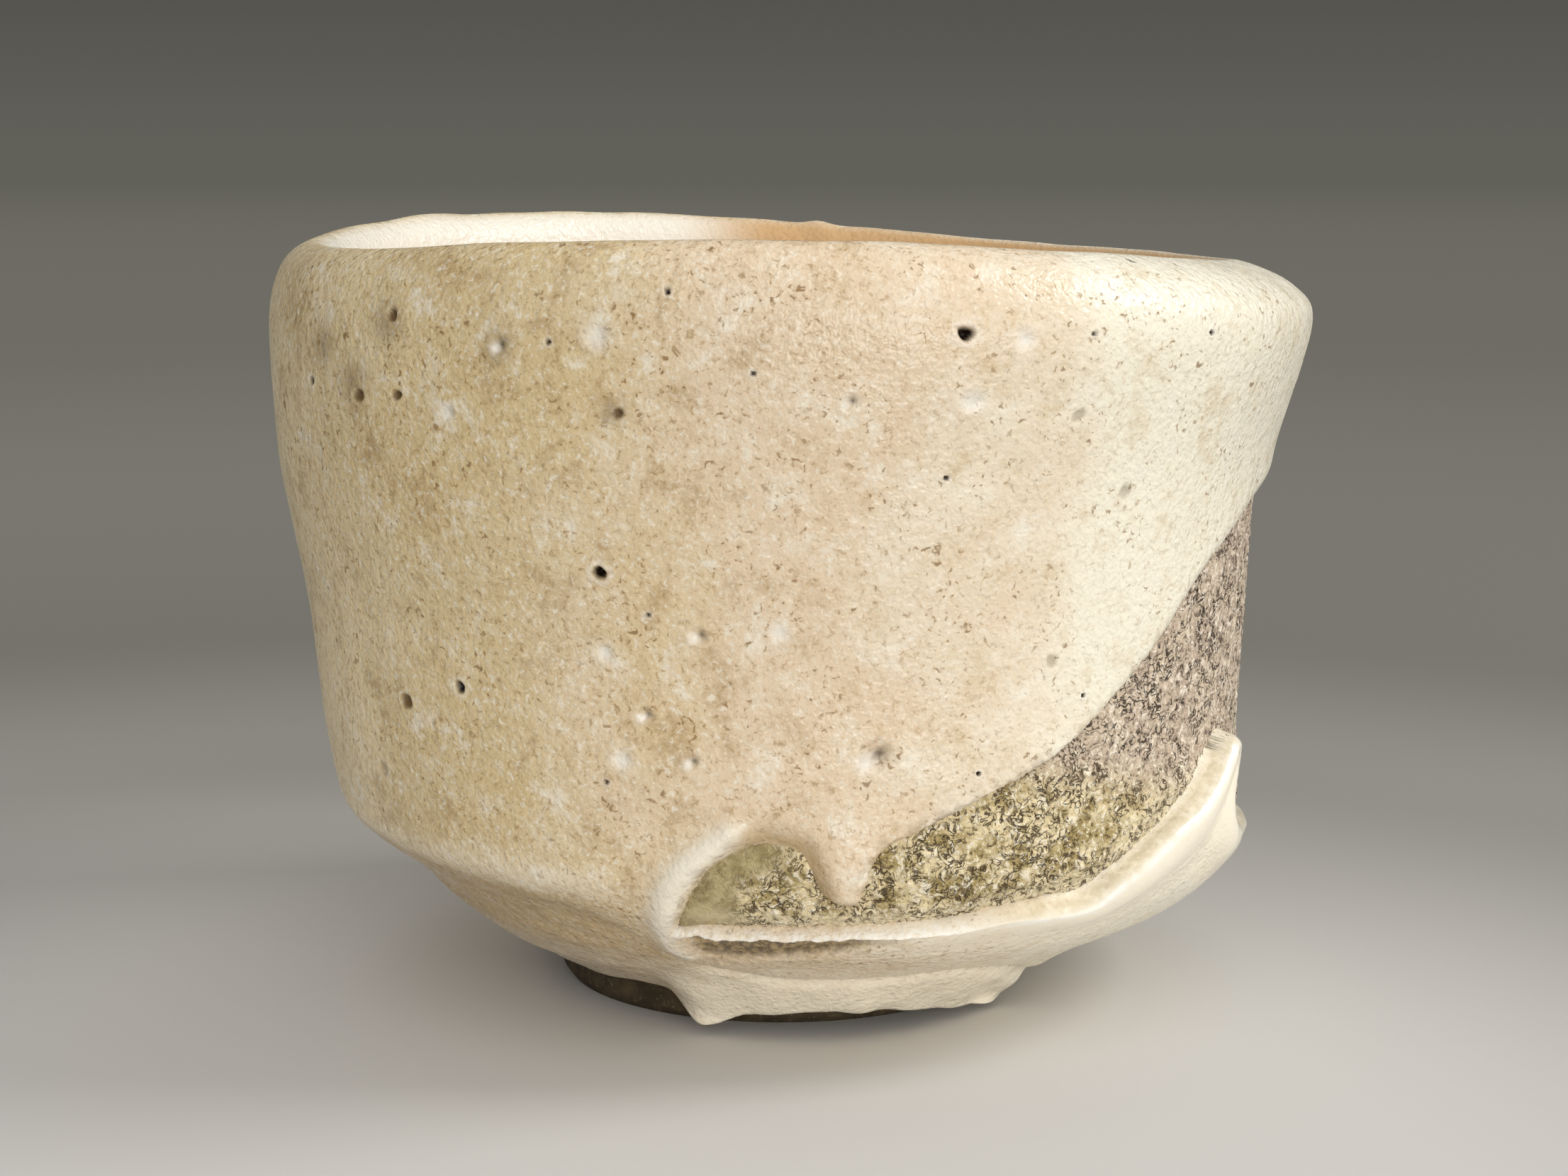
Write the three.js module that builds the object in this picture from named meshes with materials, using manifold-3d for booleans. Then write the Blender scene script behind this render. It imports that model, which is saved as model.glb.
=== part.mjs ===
// A hand-formed tea bowl: a thick clay body on a trimmed foot ring, glazed inside and out.
// The outer glaze leaves a window of clay bare at the front right. A thick roll of glaze edges the
// window below, a tongue of glaze hangs into it, and ash has fused to a crust in its lower left.
// Millimetres, +Z up. Angles are degrees from the front (-Y) towards the right (+X).

import * as THREE from "three";
import { mergeVertices } from "three/addons/utils/BufferGeometryUtils.js";
import Module from "manifold-3d";

const wasm = await Module();
wasm.setup();

// Thicknesses, and the clearance between neighbouring pieces
const GAP = 0.3;
const COAT = 1.6;
const LINING = 1.0;
const CRUST = 0.8;
const WALL = 5.2;

// Radii of the glazed outside: the widest level, and how far the others lie inside it
const BOWL_RADIUS = 58.9;
const RIM_INSET = 6.0;
const LIP_INSET = 1.8;
const UPPER_INSET = 2.0;
const WAIST_INSET = 4.1;
const LOWER_INSET = 5.2;
const HIP_INSET = 6.5;
const HIP_TURN_INSET = 12.2;

// The foot: the bare clay ring, and how far the glaze flares out above it
const FOOT_RADIUS = 25.4;
const FOOT_BORE = 19.4;
const FOOT_HEIGHT = 6.0;
const FOOT_CHAMFER = 0.8;
const FOOT_JOIN_FLARE = 1.9;
const UNDERSIDE_FLARE = 9.2;

// Heights: the whole bowl, and spans from one level of the outside up to the next
const BOWL_HEIGHT = 84.0;
const HEM_HEIGHT = 1.1;
const SKIRT_SPAN = 2.5;
const FOOT_JOIN_SPAN = 3.4;
const UNDERSIDE_SPAN = 6.1;
const HIP_SPAN = 6.9;
const LOWER_SPAN = 10.0;
const WAIST_SPAN = 14.0;
const UPPER_SPAN = 16.0;
const LIP_SPAN = 6.5;
const RIM_SPAN = 2.9;
const SHOULDER_SPAN = BOWL_HEIGHT - HEM_HEIGHT - SKIRT_SPAN - FOOT_JOIN_SPAN - UNDERSIDE_SPAN - HIP_SPAN
  - LOWER_SPAN - WAIST_SPAN - UPPER_SPAN - LIP_SPAN - RIM_SPAN;

// How the hand moved each level: to the right, forward, oval, raised on one side, saddle, ripple
const RIM_HAND = [-1.9, 0, 0.9, 1.5, 1.4, 0.4];
const LIP_HAND = [-0.6, 0, 0.3, 1.3, 1.1, 0.3];
const SHOULDER_HAND = [0, 0, 0, -0.7, 0.5, 0];
const UPPER_HAND = [-1.7, 0, 0.5, 0, 0, 0];
const WAIST_HAND = [-0.9, 0, 0.4, 0, 0, 0];
const LOWER_HAND = [-0.5, 0, 0.4, 0, 0, 0];
const HIP_HAND = [0.5, 0, 0.2, 1.8, 0.2, 0];
const HIP_TURN_HAND = [1.2, 0.9, 0.6, 1.5, 0.4, 0];
const UNDERSIDE_HAND = [-0.1, 1.9, 0, 1.2, 0.4, 0];
const FOOT_JOIN_HAND = [-0.9, 2.5, -0.1, 0.6, 0, 0];
const HEM_HAND = [-1, 2.7, -0.1, 0.3, -0.1, 0];
const GROUND_HAND = [-1, 2.7, 0, 0, 0, 0];

// Inside: how far the outer glaze laps over the lip, and the dished floor
const LIP_LAP = 6.5;
const LIP_ROUND = 1.5;
const LIP_LEAN = 0.5;
const FLOOR_THICKNESS = 7.0;
const FLOOR_RADIUS = 34.0;
const FLOOR_DISH = 1.6;
const CORNER_RISE = 6.4;
const CORNER_INSET = 3.2;

// Thick glaze forms
const ROLL_THIN = 0.9;
const ROLL_THICK = 2.7;
const ROLL_LIFT = 0.7;
const ROLL_SWELL_START = 0.2;
const ROLL_SWELL_END = 0.9;
const ROLL_ROUND_END = 0.1;
const LOBE_RADIUS = 1.3;
const LOBE_LIFT = 0.4;
const TONGUE_RISE = 0.9;
const DRIP_WIDTH = 2.6;
const DRIP_DEPTH = 1.9;
const DRIP_HALF_HEIGHT = 2.0;
const DRIP_CLEARANCE = 0.4;
const DRIP_LEFT_ANGLE = -20;
const DRIP_RIGHT_ANGLE = 49;

// Outlines on the wall, as [angle, height above the hip]
const ROLL_LINE = [
  [-14.5, -5.6], [-10, -5.9], [-3, -6], [6, -5.6], [17, -5], [24.5, -3.4], [29, -1.8],
  [36, -0.5], [40.5, 1.6], [44, 3.1], [50, 5.4], [55.5, 8.4], [61, 11],
];
const NOTCH_LINE = [[65, 10.6], [68.5, 7], [71, 3]];
const LOBE_LINE = [[75, 0.8], [82, 0.2], [100, -0.6], [120, -1.4], [135, -1.4], [143, 0.5]];
const WINDOW_TOP = [
  [146, 8], [140, 20], [128, 29], [112, 35.5], [95, 37.6], [80, 37.2], [70, 36.2], [62.5, 34.1], [56.4, 31],
  [47, 23.5], [38.5, 17.8], [28.6, 12], [20.2, 8.2], [11, 5.4], [4, 5.6], [-2.4, 5.9], [-7.4, 4.7],
  [-10.6, 1.8], [-13, -1.1],
];
const TONGUE = [
  [0, 9], [0.8, 5], [2.4, 3.6], [3.3, 1.2], [4.4, 0], [6, -0.5], [7.4, 0], [8.2, 1.2], [8.8, 2.6],
  [9.8, 4.2], [11.5, 5.4], [12, 9],
];
const ASH_TOP = [[56, 9.8], [50, 10.6], [43, 12.2], [36, 13.6], [28, 15], [20, 17], [-20, 20]];

// Directions of the hand-made unevenness
const RAISED_SIDE = -80;
const OVAL_TOWARDS = 12;
const SADDLE_TOWARDS = 18;
const RIPPLE_TOWARDS = -13;

// Reach of the cutting blocks from the axis, as shares of the hip's radius
const BLOCK_REACH = [0.25, 0.8, 1.25, 12];

// Facets
const ROUND = 36;
const STEPS_PER_LEVEL = 2;
const STEPS_PER_EDGE_POINT = 2;
const ROLL_SIDES = 10;
const ROLL_STEPS = 22;
const LOBE_STEPS = 10;
const DRIP_SIDES = 14;
const DRIP_RINGS = 8;

const radians = THREE.MathUtils.degToRad;

// One level of the outside: its radius, its span above the level below, and how the hand moved it
function level(radius, span, [shift, forward, oval, rise, saddle, ripple]) {
  return { radius, span, shift, forward, oval, rise, saddle, ripple };
}

const hemRadius = FOOT_RADIUS + COAT + GAP;
const rim = level(BOWL_RADIUS - RIM_INSET, RIM_SPAN, RIM_HAND);
const lip = level(BOWL_RADIUS - LIP_INSET, LIP_SPAN, LIP_HAND);
const shoulder = level(BOWL_RADIUS, SHOULDER_SPAN, SHOULDER_HAND);
const upper = level(BOWL_RADIUS - UPPER_INSET, UPPER_SPAN, UPPER_HAND);
const waist = level(BOWL_RADIUS - WAIST_INSET, WAIST_SPAN, WAIST_HAND);
const lower = level(BOWL_RADIUS - LOWER_INSET, LOWER_SPAN, LOWER_HAND);
const hip = level(BOWL_RADIUS - HIP_INSET, HIP_SPAN, HIP_HAND);
const hipTurn = level(BOWL_RADIUS - HIP_TURN_INSET, UNDERSIDE_SPAN, HIP_TURN_HAND);
const underside = level(hemRadius + UNDERSIDE_FLARE, FOOT_JOIN_SPAN, UNDERSIDE_HAND);
const footJoin = level(hemRadius + FOOT_JOIN_FLARE, SKIRT_SPAN, FOOT_JOIN_HAND);
const hem = level(hemRadius, HEM_HEIGHT, HEM_HAND);
const ground = level(hemRadius, 0, GROUND_HAND);
const levels = [ground, hem, footJoin, underside, hipTurn, hip, lower, waist, upper, shoulder, lip, rim];
levels.reduce((height, each) => (each.height = height + each.span), 0);

const floorHeight = FOOT_HEIGHT + FLOOR_THICKNESS;

// The profile of the glazed outside, from inside the lip, over the rim and down to the hem
const lapRadius = BOWL_RADIUS - WALL - 2 * (COAT + GAP);
const outside = new THREE.SplineCurve([
  new THREE.Vector2(lapRadius, rim.height - LIP_LAP),
  new THREE.Vector2(lapRadius + LIP_LEAN, rim.height - LIP_ROUND),
  ...levels.slice(1).reverse().map((each) => new THREE.Vector2(each.radius, each.height)),
]);

// The same profile laid a given depth below the outside
function skin(depth) {
  const count = (outside.points.length - 1) * STEPS_PER_LEVEL;
  const profile = [];
  for (let i = 0; i <= count; i += 1) {
    const along = outside.getTangent(i / count);
    const outwards = new THREE.Vector2(-along.y, along.x);
    profile.push(outside.getPoint(i / count).addScaledVector(outwards, -depth));
  }
  return profile;
}

// The clay inside of the wall and floor, laid a given height above the clay
function lining(rise) {
  const wallAt = (each) => new THREE.Vector2(each.radius - COAT - GAP - WALL - rise, each.height);
  const corner = wallAt(lower).x - CORNER_INSET;
  const points = [
    new THREE.Vector2(lapRadius + COAT + GAP - rise, rim.height - LIP_LAP),
    ...[shoulder, upper, waist, lower].map(wallAt),
    new THREE.Vector2(corner, floorHeight + FLOOR_DISH + CORNER_RISE + rise),
    new THREE.Vector2(FLOOR_RADIUS, floorHeight + FLOOR_DISH + rise),
    new THREE.Vector2(0, floorHeight + rise),
  ];
  return new THREE.SplineCurve(points).getPoints((points.length - 1) * STEPS_PER_LEVEL);
}

// The point where a profile crosses a height, going down
function crossing(profile, height) {
  const next = profile.findIndex((point, i) => i > 0 && profile[i - 1].y > height && point.y <= height);
  const above = profile[next - 1];
  const below = profile[next];
  return above.clone().lerp(below, (above.y - height) / (above.y - below.y));
}

// A closed solid from a geometry with merged corners and no empty triangles
function solidOf(geometry) {
  geometry.deleteAttribute("normal");
  geometry.deleteAttribute("uv");
  const merged = mergeVertices(geometry);
  const corners = Array.from(merged.index.array);
  const triangles = [];
  for (let i = 0; i < corners.length; i += 3) {
    const triangle = corners.slice(i, i + 3);
    if (new Set(triangle).size === 3) {
      triangles.push(...triangle);
    }
  }
  return new wasm.Manifold(new wasm.Mesh({
    numProp: 3,
    vertProperties: merged.attributes.position.array,
    triVerts: Uint32Array.from(triangles),
  }));
}

// A solid turned round the axis from a profile that runs up its outside
function turned(profile) {
  const geometry = new THREE.LatheGeometry(profile, ROUND);
  geometry.rotateX(Math.PI / 2);
  return solidOf(geometry);
}

// The whole bowl as one plug, its surface a given depth below the glazed outside
function core(depth) {
  const profile = skin(depth);
  const hemPoint = profile[profile.length - 1];
  return turned([
    new THREE.Vector2(0, 0),
    new THREE.Vector2(hemPoint.x, 0),
    ...profile.slice().reverse(),
    new THREE.Vector2(0, profile[0].y),
  ]);
}

// Moves every corner of a geometry
function bend(geometry, move) {
  const position = geometry.attributes.position;
  const point = new THREE.Vector3();
  for (let i = 0; i < position.count; i += 1) {
    point.fromBufferAttribute(position, i);
    const moved = move(point);
    position.setXYZ(i, moved.x, moved.y, moved.z);
  }
  return geometry;
}

function around(radius, angle, height) {
  return new THREE.Vector3(radius * Math.sin(angle), -radius * Math.cos(angle), height);
}

function smooth(line) {
  const points = line.map(([angle, height]) => new THREE.Vector2(angle, hip.height + height));
  return new THREE.SplineCurve(points).getPoints((points.length - 1) * STEPS_PER_EDGE_POINT);
}

// An outline moved inwards by a distance on the wall, or outwards by a negative one
function inset(outline, distance) {
  const perDegree = radians(hip.radius);
  const flat = outline.map((point) => new THREE.Vector2(point.x * perDegree, point.y));
  const turn = Math.sign(THREE.ShapeUtils.area(flat));
  return flat.map((point, i) => {
    const before = flat[(i + flat.length - 1) % flat.length];
    const after = flat[(i + 1) % flat.length];
    const along = after.clone().sub(before).normalize();
    const moved = point.clone().addScaledVector(new THREE.Vector2(-along.y, along.x), turn * distance);
    return new THREE.Vector2(moved.x / perDegree, moved.y);
  });
}

// A block that runs out from the axis through the wall, with an outline on the wall for its face
function wedge(outline) {
  const radiusSteps = BLOCK_REACH.map((share) => share * hip.radius);
  const steps = radiusSteps.length - 1;
  const geometry = new THREE.ExtrudeGeometry(new THREE.Shape(outline), {
    depth: steps, steps, bevelEnabled: false,
  });
  return solidOf(bend(geometry, (point) =>
    around(radiusSteps[Math.round(point.z)], radians(point.x), point.y)));
}

// A bar of glaze along a line on the wall, lifted off the clay, its radius given along its length.
// It can be grown all round, ends included, to cut its seat in a neighbour.
function bar(line, lift, radiusAt, steps, grow) {
  const side = skin(COAT - lift);
  const path = new THREE.CatmullRomCurve3(line.map(([angle, rise]) => {
    const height = hip.height + rise;
    return around(crossing(side, height).x, radians(angle), height);
  }));
  const circle = new THREE.Shape().absarc(0, 0, 1, 0, 2 * Math.PI);
  const geometry = new THREE.ExtrudeGeometry(circle, {
    depth: 1, steps, bevelEnabled: false, curveSegments: ROLL_SIDES,
  });
  return solidOf(bend(geometry, (point) => {
    const centre = path.getPointAt(point.z);
    const along = path.getTangentAt(point.z);
    const outwards = new THREE.Vector3(centre.x, centre.y, 0).normalize();
    const across = along.clone().cross(outwards).normalize();
    const radius = Math.max(GAP, radiusAt(point.z)) + grow;
    const pastEnd = Math.trunc(2 * point.z - 1) * grow;
    return centre
      .addScaledVector(along, pastEnd)
      .addScaledVector(across.clone().cross(along), radius * point.x)
      .addScaledVector(across, radius * point.y);
  }));
}

// How much of its radius a bar keeps at a given distance from its end
function roundedEnd(distance) {
  const part = Math.min(distance, ROLL_ROUND_END) / ROLL_ROUND_END;
  return Math.sqrt(1 - (1 - part) ** 2);
}

function roll(grow) {
  const radiusAt = (along) => {
    const swell = THREE.MathUtils.smoothstep(along, ROLL_SWELL_START, ROLL_SWELL_END);
    return THREE.MathUtils.lerp(ROLL_THIN, ROLL_THICK, swell) * roundedEnd(1 - along);
  };
  return bar(ROLL_LINE, ROLL_LIFT, radiusAt, ROLL_STEPS, grow);
}

function lobe(grow) {
  const radiusAt = (along) => LOBE_RADIUS * roundedEnd(Math.min(along, 1 - along));
  return bar(LOBE_LINE, LOBE_LIFT, radiusAt, LOBE_STEPS, grow);
}

function drip(angle, grow) {
  const geometry = new THREE.SphereGeometry(1, DRIP_SIDES, DRIP_RINGS);
  geometry.rotateX(Math.PI / 2);
  geometry.scale(DRIP_WIDTH + grow, DRIP_DEPTH + grow, DRIP_HALF_HEIGHT + grow);
  geometry.rotateZ(radians(angle));
  const seat = around(hem.radius, radians(angle), DRIP_CLEARANCE + DRIP_HALF_HEIGHT);
  geometry.translate(seat.x, seat.y, seat.z);
  return solidOf(geometry);
}

// How fast one of a level's measures changes with height there
function slopeAt(index, key) {
  const below = levels[Math.max(index - 1, 0)];
  const above = levels[Math.min(index + 1, levels.length - 1)];
  return (above[key] - below[key]) / (above.height - below.height);
}

// How the hand moved the bowl at a height, on a smooth curve through the levels
function handAt(height) {
  const above = Math.max(1, levels.findIndex((each) => each.height >= height));
  const top = height > rim.height ? levels.length - 1 : above;
  const [from, to] = [levels[top - 1], levels[top]];
  const span = to.height - from.height;
  const part = THREE.MathUtils.clamp((height - from.height) / span, 0, 1);
  const rest = 1 - part;
  const eased = THREE.MathUtils.smoothstep(part, 0, 1);
  const curve = (key) => THREE.MathUtils.lerp(from[key], to[key], eased)
    + span * part * rest * (rest * slopeAt(top - 1, key) - part * slopeAt(top, key));
  return {
    radius: THREE.MathUtils.lerp(from.radius, to.radius, part),
    shift: curve("shift"),
    forward: curve("forward"),
    oval: curve("oval"),
    rise: curve("rise"),
    saddle: curve("saddle"),
    ripple: curve("ripple"),
  };
}

// Turns a point of the true round bowl into a point of the hand-formed one
function formed(point) {
  const hand = handAt(point.z);
  const radius = Math.hypot(point.x, point.y);
  const angle = Math.atan2(point.x, -point.y);
  const share = radius / hand.radius;
  const wave = (count, towards) => share ** count * Math.cos(count * (angle - radians(towards)));
  const oval = hand.oval * share * Math.cos(2 * (angle - radians(OVAL_TOWARDS)));
  const height = point.z
    + hand.rise * wave(1, RAISED_SIDE)
    + hand.saddle * wave(2, SADDLE_TOWARDS)
    + hand.ripple * wave(3, RIPPLE_TOWARDS);
  const moved = around(radius + oval, angle, height);
  moved.x += hand.shift;
  moved.y -= hand.forward;
  return moved;
}

function piece(name, solid, color, roughness) {
  const { vertProperties, triVerts } = solid.getMesh();
  const geometry = new THREE.BufferGeometry();
  geometry.setAttribute("position", new THREE.BufferAttribute(vertProperties, 3));
  geometry.setIndex(new THREE.BufferAttribute(triVerts, 1));
  bend(geometry, formed);
  geometry.computeVertexNormals();
  const mesh = new THREE.Mesh(geometry, new THREE.MeshStandardMaterial({ color, roughness, metalness: 0 }));
  mesh.name = name;
  return mesh;
}

// The window is cut to below the middle of the roll and the lobe, which then cover its lower edge
const tuck = new THREE.Vector2(0, ROLL_THIN / 2);
const windowFoot = smooth([...ROLL_LINE, ...NOTCH_LINE, ...LOBE_LINE]).map((point) => point.sub(tuck));
const windowOutline = [...windowFoot, ...smooth(WINDOW_TOP)];
const ashFoot = smooth(ROLL_LINE.slice(0, -1)).map((point) => point.add(tuck));
const ashOutline = [...ashFoot, ...smooth(ASH_TOP)];
const tongueOutline = smooth(TONGUE);
const clayAndGap = core(COAT);
const insideWindow = wedge(inset(windowOutline, GAP));

function clayBody() {
  const outer = skin(COAT + GAP);
  const foot = crossing(outer, FOOT_HEIGHT);
  return turned([
    new THREE.Vector2(0, FOOT_HEIGHT),
    foot,
    ...outer.filter((point) => point.y > FOOT_HEIGHT).reverse(),
    ...lining(0).slice(1),
  ]);
}

function footRing() {
  const outer = skin(COAT + GAP);
  const top = FOOT_HEIGHT - GAP;
  const seat = crossing(outer, top);
  const side = outer.filter((point) => point.y < top && point.x < seat.x);
  const outline = [
    new THREE.Vector2(FOOT_BORE, top),
    new THREE.Vector2(FOOT_BORE, FOOT_CHAMFER),
    new THREE.Vector2(FOOT_BORE + FOOT_CHAMFER, 0),
    new THREE.Vector2(FOOT_RADIUS - FOOT_CHAMFER, 0),
    new THREE.Vector2(FOOT_RADIUS, FOOT_CHAMFER),
    ...side.reverse(),
    seat,
  ];
  return turned([...outline, outline[0]]);
}

function innerGlaze() {
  const top = Math.min(skin(0)[0].y, skin(COAT)[0].y) - GAP;
  const below = (profile) => [crossing(profile, top), ...profile.filter((point) => point.y < top)];
  const back = below(lining(GAP));
  const face = below(lining(GAP + LINING));
  return turned([...back.reverse(), ...face]);
}

function outerGlaze() {
  const outline = [...skin(0).reverse(), ...skin(COAT)];
  return turned([...outline, outline[0]])
    .subtract(wedge(windowOutline))
    .subtract(roll(GAP))
    .subtract(lobe(GAP))
    .subtract(drip(DRIP_LEFT_ANGLE, GAP))
    .subtract(drip(DRIP_RIGHT_ANGLE, GAP));
}

function glazeTongue() {
  return core(-TONGUE_RISE).intersect(wedge(tongueOutline)).intersect(insideWindow).subtract(clayAndGap);
}

function ashCrust() {
  return core(COAT - CRUST)
    .intersect(insideWindow)
    .intersect(wedge(ashOutline))
    .subtract(clayAndGap)
    .subtract(wedge(inset(tongueOutline, -GAP)))
    .subtract(roll(GAP));
}

const bowl = new THREE.Group();
bowl.add(
  piece("clay_body", clayBody(), 0x8a7566, 0.9),
  piece("foot_ring", footRing(), 0x6f6148, 0.9),
  piece("inner_glaze", innerGlaze(), 0xf2e4cf, 0.25),
  piece("outer_glaze", outerGlaze(), 0xdcc7a4, 0.4),
  piece("glaze_roll", roll(0).subtract(clayAndGap), 0xefe3c6, 0.3),
  piece("glaze_lobe", lobe(0).subtract(clayAndGap), 0xefe3c6, 0.3),
  piece("glaze_tongue", glazeTongue(), 0xe2cda8, 0.35),
  piece("ash_crust", ashCrust(), 0x8f8058, 0.7),
  piece("drip_left", drip(DRIP_LEFT_ANGLE, 0).subtract(clayAndGap), 0xe6d7b8, 0.3),
  piece("drip_right", drip(DRIP_RIGHT_ANGLE, 0).subtract(clayAndGap), 0xe6d7b8, 0.3),
);

export default bowl;
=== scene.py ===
"""The looks of a hand-formed tea bowl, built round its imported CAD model.

The glaze, the clay and the ash are dense meshes on the bowl's own surface. Shapes are worked out in
millimetres on a true round bowl, as (angle, length along the profile), and then moved by hand-made
unevenness. Angles are degrees from the front (-Y) towards the right (+X).
"""

import math

import bmesh
import bpy
import numpy as np
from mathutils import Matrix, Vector, noise


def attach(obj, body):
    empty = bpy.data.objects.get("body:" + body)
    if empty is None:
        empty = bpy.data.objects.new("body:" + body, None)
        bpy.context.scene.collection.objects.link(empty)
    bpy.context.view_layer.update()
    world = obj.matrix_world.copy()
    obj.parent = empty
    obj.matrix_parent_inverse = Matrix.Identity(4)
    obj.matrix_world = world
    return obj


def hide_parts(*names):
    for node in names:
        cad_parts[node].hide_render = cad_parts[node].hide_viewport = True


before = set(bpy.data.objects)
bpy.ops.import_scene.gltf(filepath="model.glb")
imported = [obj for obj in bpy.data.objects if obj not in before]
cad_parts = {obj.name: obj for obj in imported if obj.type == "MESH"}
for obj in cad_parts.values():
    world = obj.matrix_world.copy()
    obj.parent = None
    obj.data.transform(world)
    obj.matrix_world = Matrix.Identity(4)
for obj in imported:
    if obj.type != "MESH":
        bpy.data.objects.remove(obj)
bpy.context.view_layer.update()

MM = 0.001

# The photograph's camera, in millimetres, and its focal length for an image 2212 pixels wide
IMAGE_WIDTH = 2212
FOCAL_PIXELS = 4100
SENSOR_WIDTH = 36.0
CAMERA_PLACE = (-0.7, -332.4, 94.8)
CAMERA_PITCH = 8.76

# Levels of the glazed outside: radius, height, and how the hand moved it (to the right, forward, oval,
# raised on one side, bent like a saddle, rippled)
GROUND = (27.3, 0.0, -1.0, 2.7, 0.0, 0.0, 0.0, 0.0)
HEM = (27.3, 1.1, -1.0, 2.7, -0.1, 0.3, -0.1, 0.0)
FOOT_JOIN = (29.2, 3.6, -0.9, 2.5, -0.1, 0.6, 0.0, 0.0)
UNDERSIDE = (36.5, 7.0, -0.1, 1.9, 0.0, 1.2, 0.4, 0.0)
HIP_TURN = (46.7, 13.1, 1.2, 0.9, 0.6, 1.5, 0.4, 0.0)
HIP = (52.4, 20.0, 0.5, 0.0, 0.2, 1.8, 0.2, 0.0)
LOWER = (53.7, 30.0, -0.5, 0.0, 0.4, 0.0, 0.0, 0.0)
WAIST = (54.8, 44.0, -0.9, 0.0, 0.4, 0.0, 0.0, 0.0)
UPPER = (56.9, 60.0, -1.7, 0.0, 0.5, 0.0, 0.0, 0.0)
SHOULDER = (58.9, 74.6, 0.0, 0.0, 0.0, -0.7, 0.5, 0.0)
LIP = (57.1, 81.1, -0.6, 0.0, 0.3, 1.3, 1.1, 0.3)
RIM = (52.9, 84.0, -1.9, 0.0, 0.9, 1.5, 1.4, 0.4)
HEM_END = (27.1, 0.3)
LEVELS = np.array([
    GROUND, HEM, FOOT_JOIN, UNDERSIDE, HIP_TURN, HIP, LOWER, WAIST, UPPER, SHOULDER, LIP, RIM,
])
level_steps = np.diff(np.vstack([LEVELS[:1], LEVELS, LEVELS[-1:]]), axis=0)
level_slopes = (level_steps[:-1] + level_steps[1:]) / (level_steps[:-1] + level_steps[1:])[:, 1:2]
OVAL_TOWARDS = 12
RAISED_SIDE = -80
SADDLE_TOWARDS = 18
RIPPLE_TOWARDS = -13

# Thicknesses
COAT = 1.6
LINING = 1.3
CRUST = 0.7
SHELL = 0.8
WALL_INSIDE = 7.1

# Inside and foot
LAP_FOOT = (49.9, 77.5)
LAP_TOP = (50.4, 82.5)
LINING_TOP = (51.8, 77.5)
LINING_HEAD = (51.9, 80.6)
LINING_CORNER = (43.4, 21.0)
FLOOR_EDGE = (34.0, 14.6)
FLOOR_CENTRE = (0.0, 13.0)
FOOT_RADIUS = 25.4
FOOT_BORE = 19.4
FOOT_MIDDLE = 21.4
FOOT_HEIGHT = 6.0
FOOT_CHAMFER = 0.8

# Outlines on the wall, as (angle, height)
WINDOW_FOOT = [
    (-15.2, 14.6), (-11, 14.6), (-6, 14.7), (1.2, 15.0), (11.3, 15.6), (17.7, 16.1), (24.2, 17.4),
    (30.1, 18.1), (35.3, 18.8), (39.4, 20.7), (46.6, 23.8), (53.3, 26.4), (57.8, 28.6), (60.4, 30.2),
    (62.6, 31.4), (64.8, 31.3), (65.8, 30.0), (64.8, 28.2), (62.8, 26.4), (62.2, 24.6), (63.6, 23.3),
    (66.5, 22.6), (70, 22.0), (76, 21.3), (82, 20.6), (100, 19.4), (120, 18.6), (135, 18.6), (143, 20.5),
]
WINDOW_TOP = [
    (146, 28), (140, 40), (128, 49), (112, 55.5), (95, 57.6), (80, 57.2), (70, 56.4), (64, 54.5), (56.2, 51),
    (51.5, 48.2), (45.3, 43.1), (38.5, 38.2), (31.7, 33.7), (24.3, 30.6), (18.4, 28.3), (14.2, 26.6),
    (11.2, 25.5), (10.2, 24.8), (9.3, 23.8), (8.6, 22.4), (8, 20.7), (7.3, 19.3), (6.2, 18.5), (4.2, 18.4),
    (2.9, 19.4), (2.2, 21.3), (1.5, 23.4), (0.6, 24.8), (-2.4, 25.4), (-4.6, 25.1), (-6.4, 24.3),
    (-8.9, 22.4), (-11.4, 19.2), (-13.2, 16.7), (-14.5, 15.2),
]
RIDGE = [
    (-6.1, 26.6), (-10, 23.9), (-13, 21), (-15, 18), (-16.6, 15.3), (-17.2, 13.4), (-16.6, 12.1), (-15, 11.3),
]
BEAD = [(-10.9, 10.1), (-10.6, 10.1)]
BAND_FOOT = [
    (-15.7, 13.2), (-13.8, 12.3), (-12.1, 11.7), (-8.4, 11.4), (-2.8, 12.0), (4.1, 13.1), (10.9, 13.9),
]
CREASE = [(-14, 8.8), (-8, 8.0), (-1, 7.0), (10, 6.9), (18, 7.2), (26, 7.8), (36, 7.2), (50, 5.5), (62, 5.0)]
ASH_EDGE = [(58, 28), (50, 30.4), (43, 32), (36, 33.4), (28, 35), (20, 37), (-20, 38)]
PER_DEGREE = math.radians(54.0)
FOOT_PER_DEGREE = math.radians(27.0)

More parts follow.
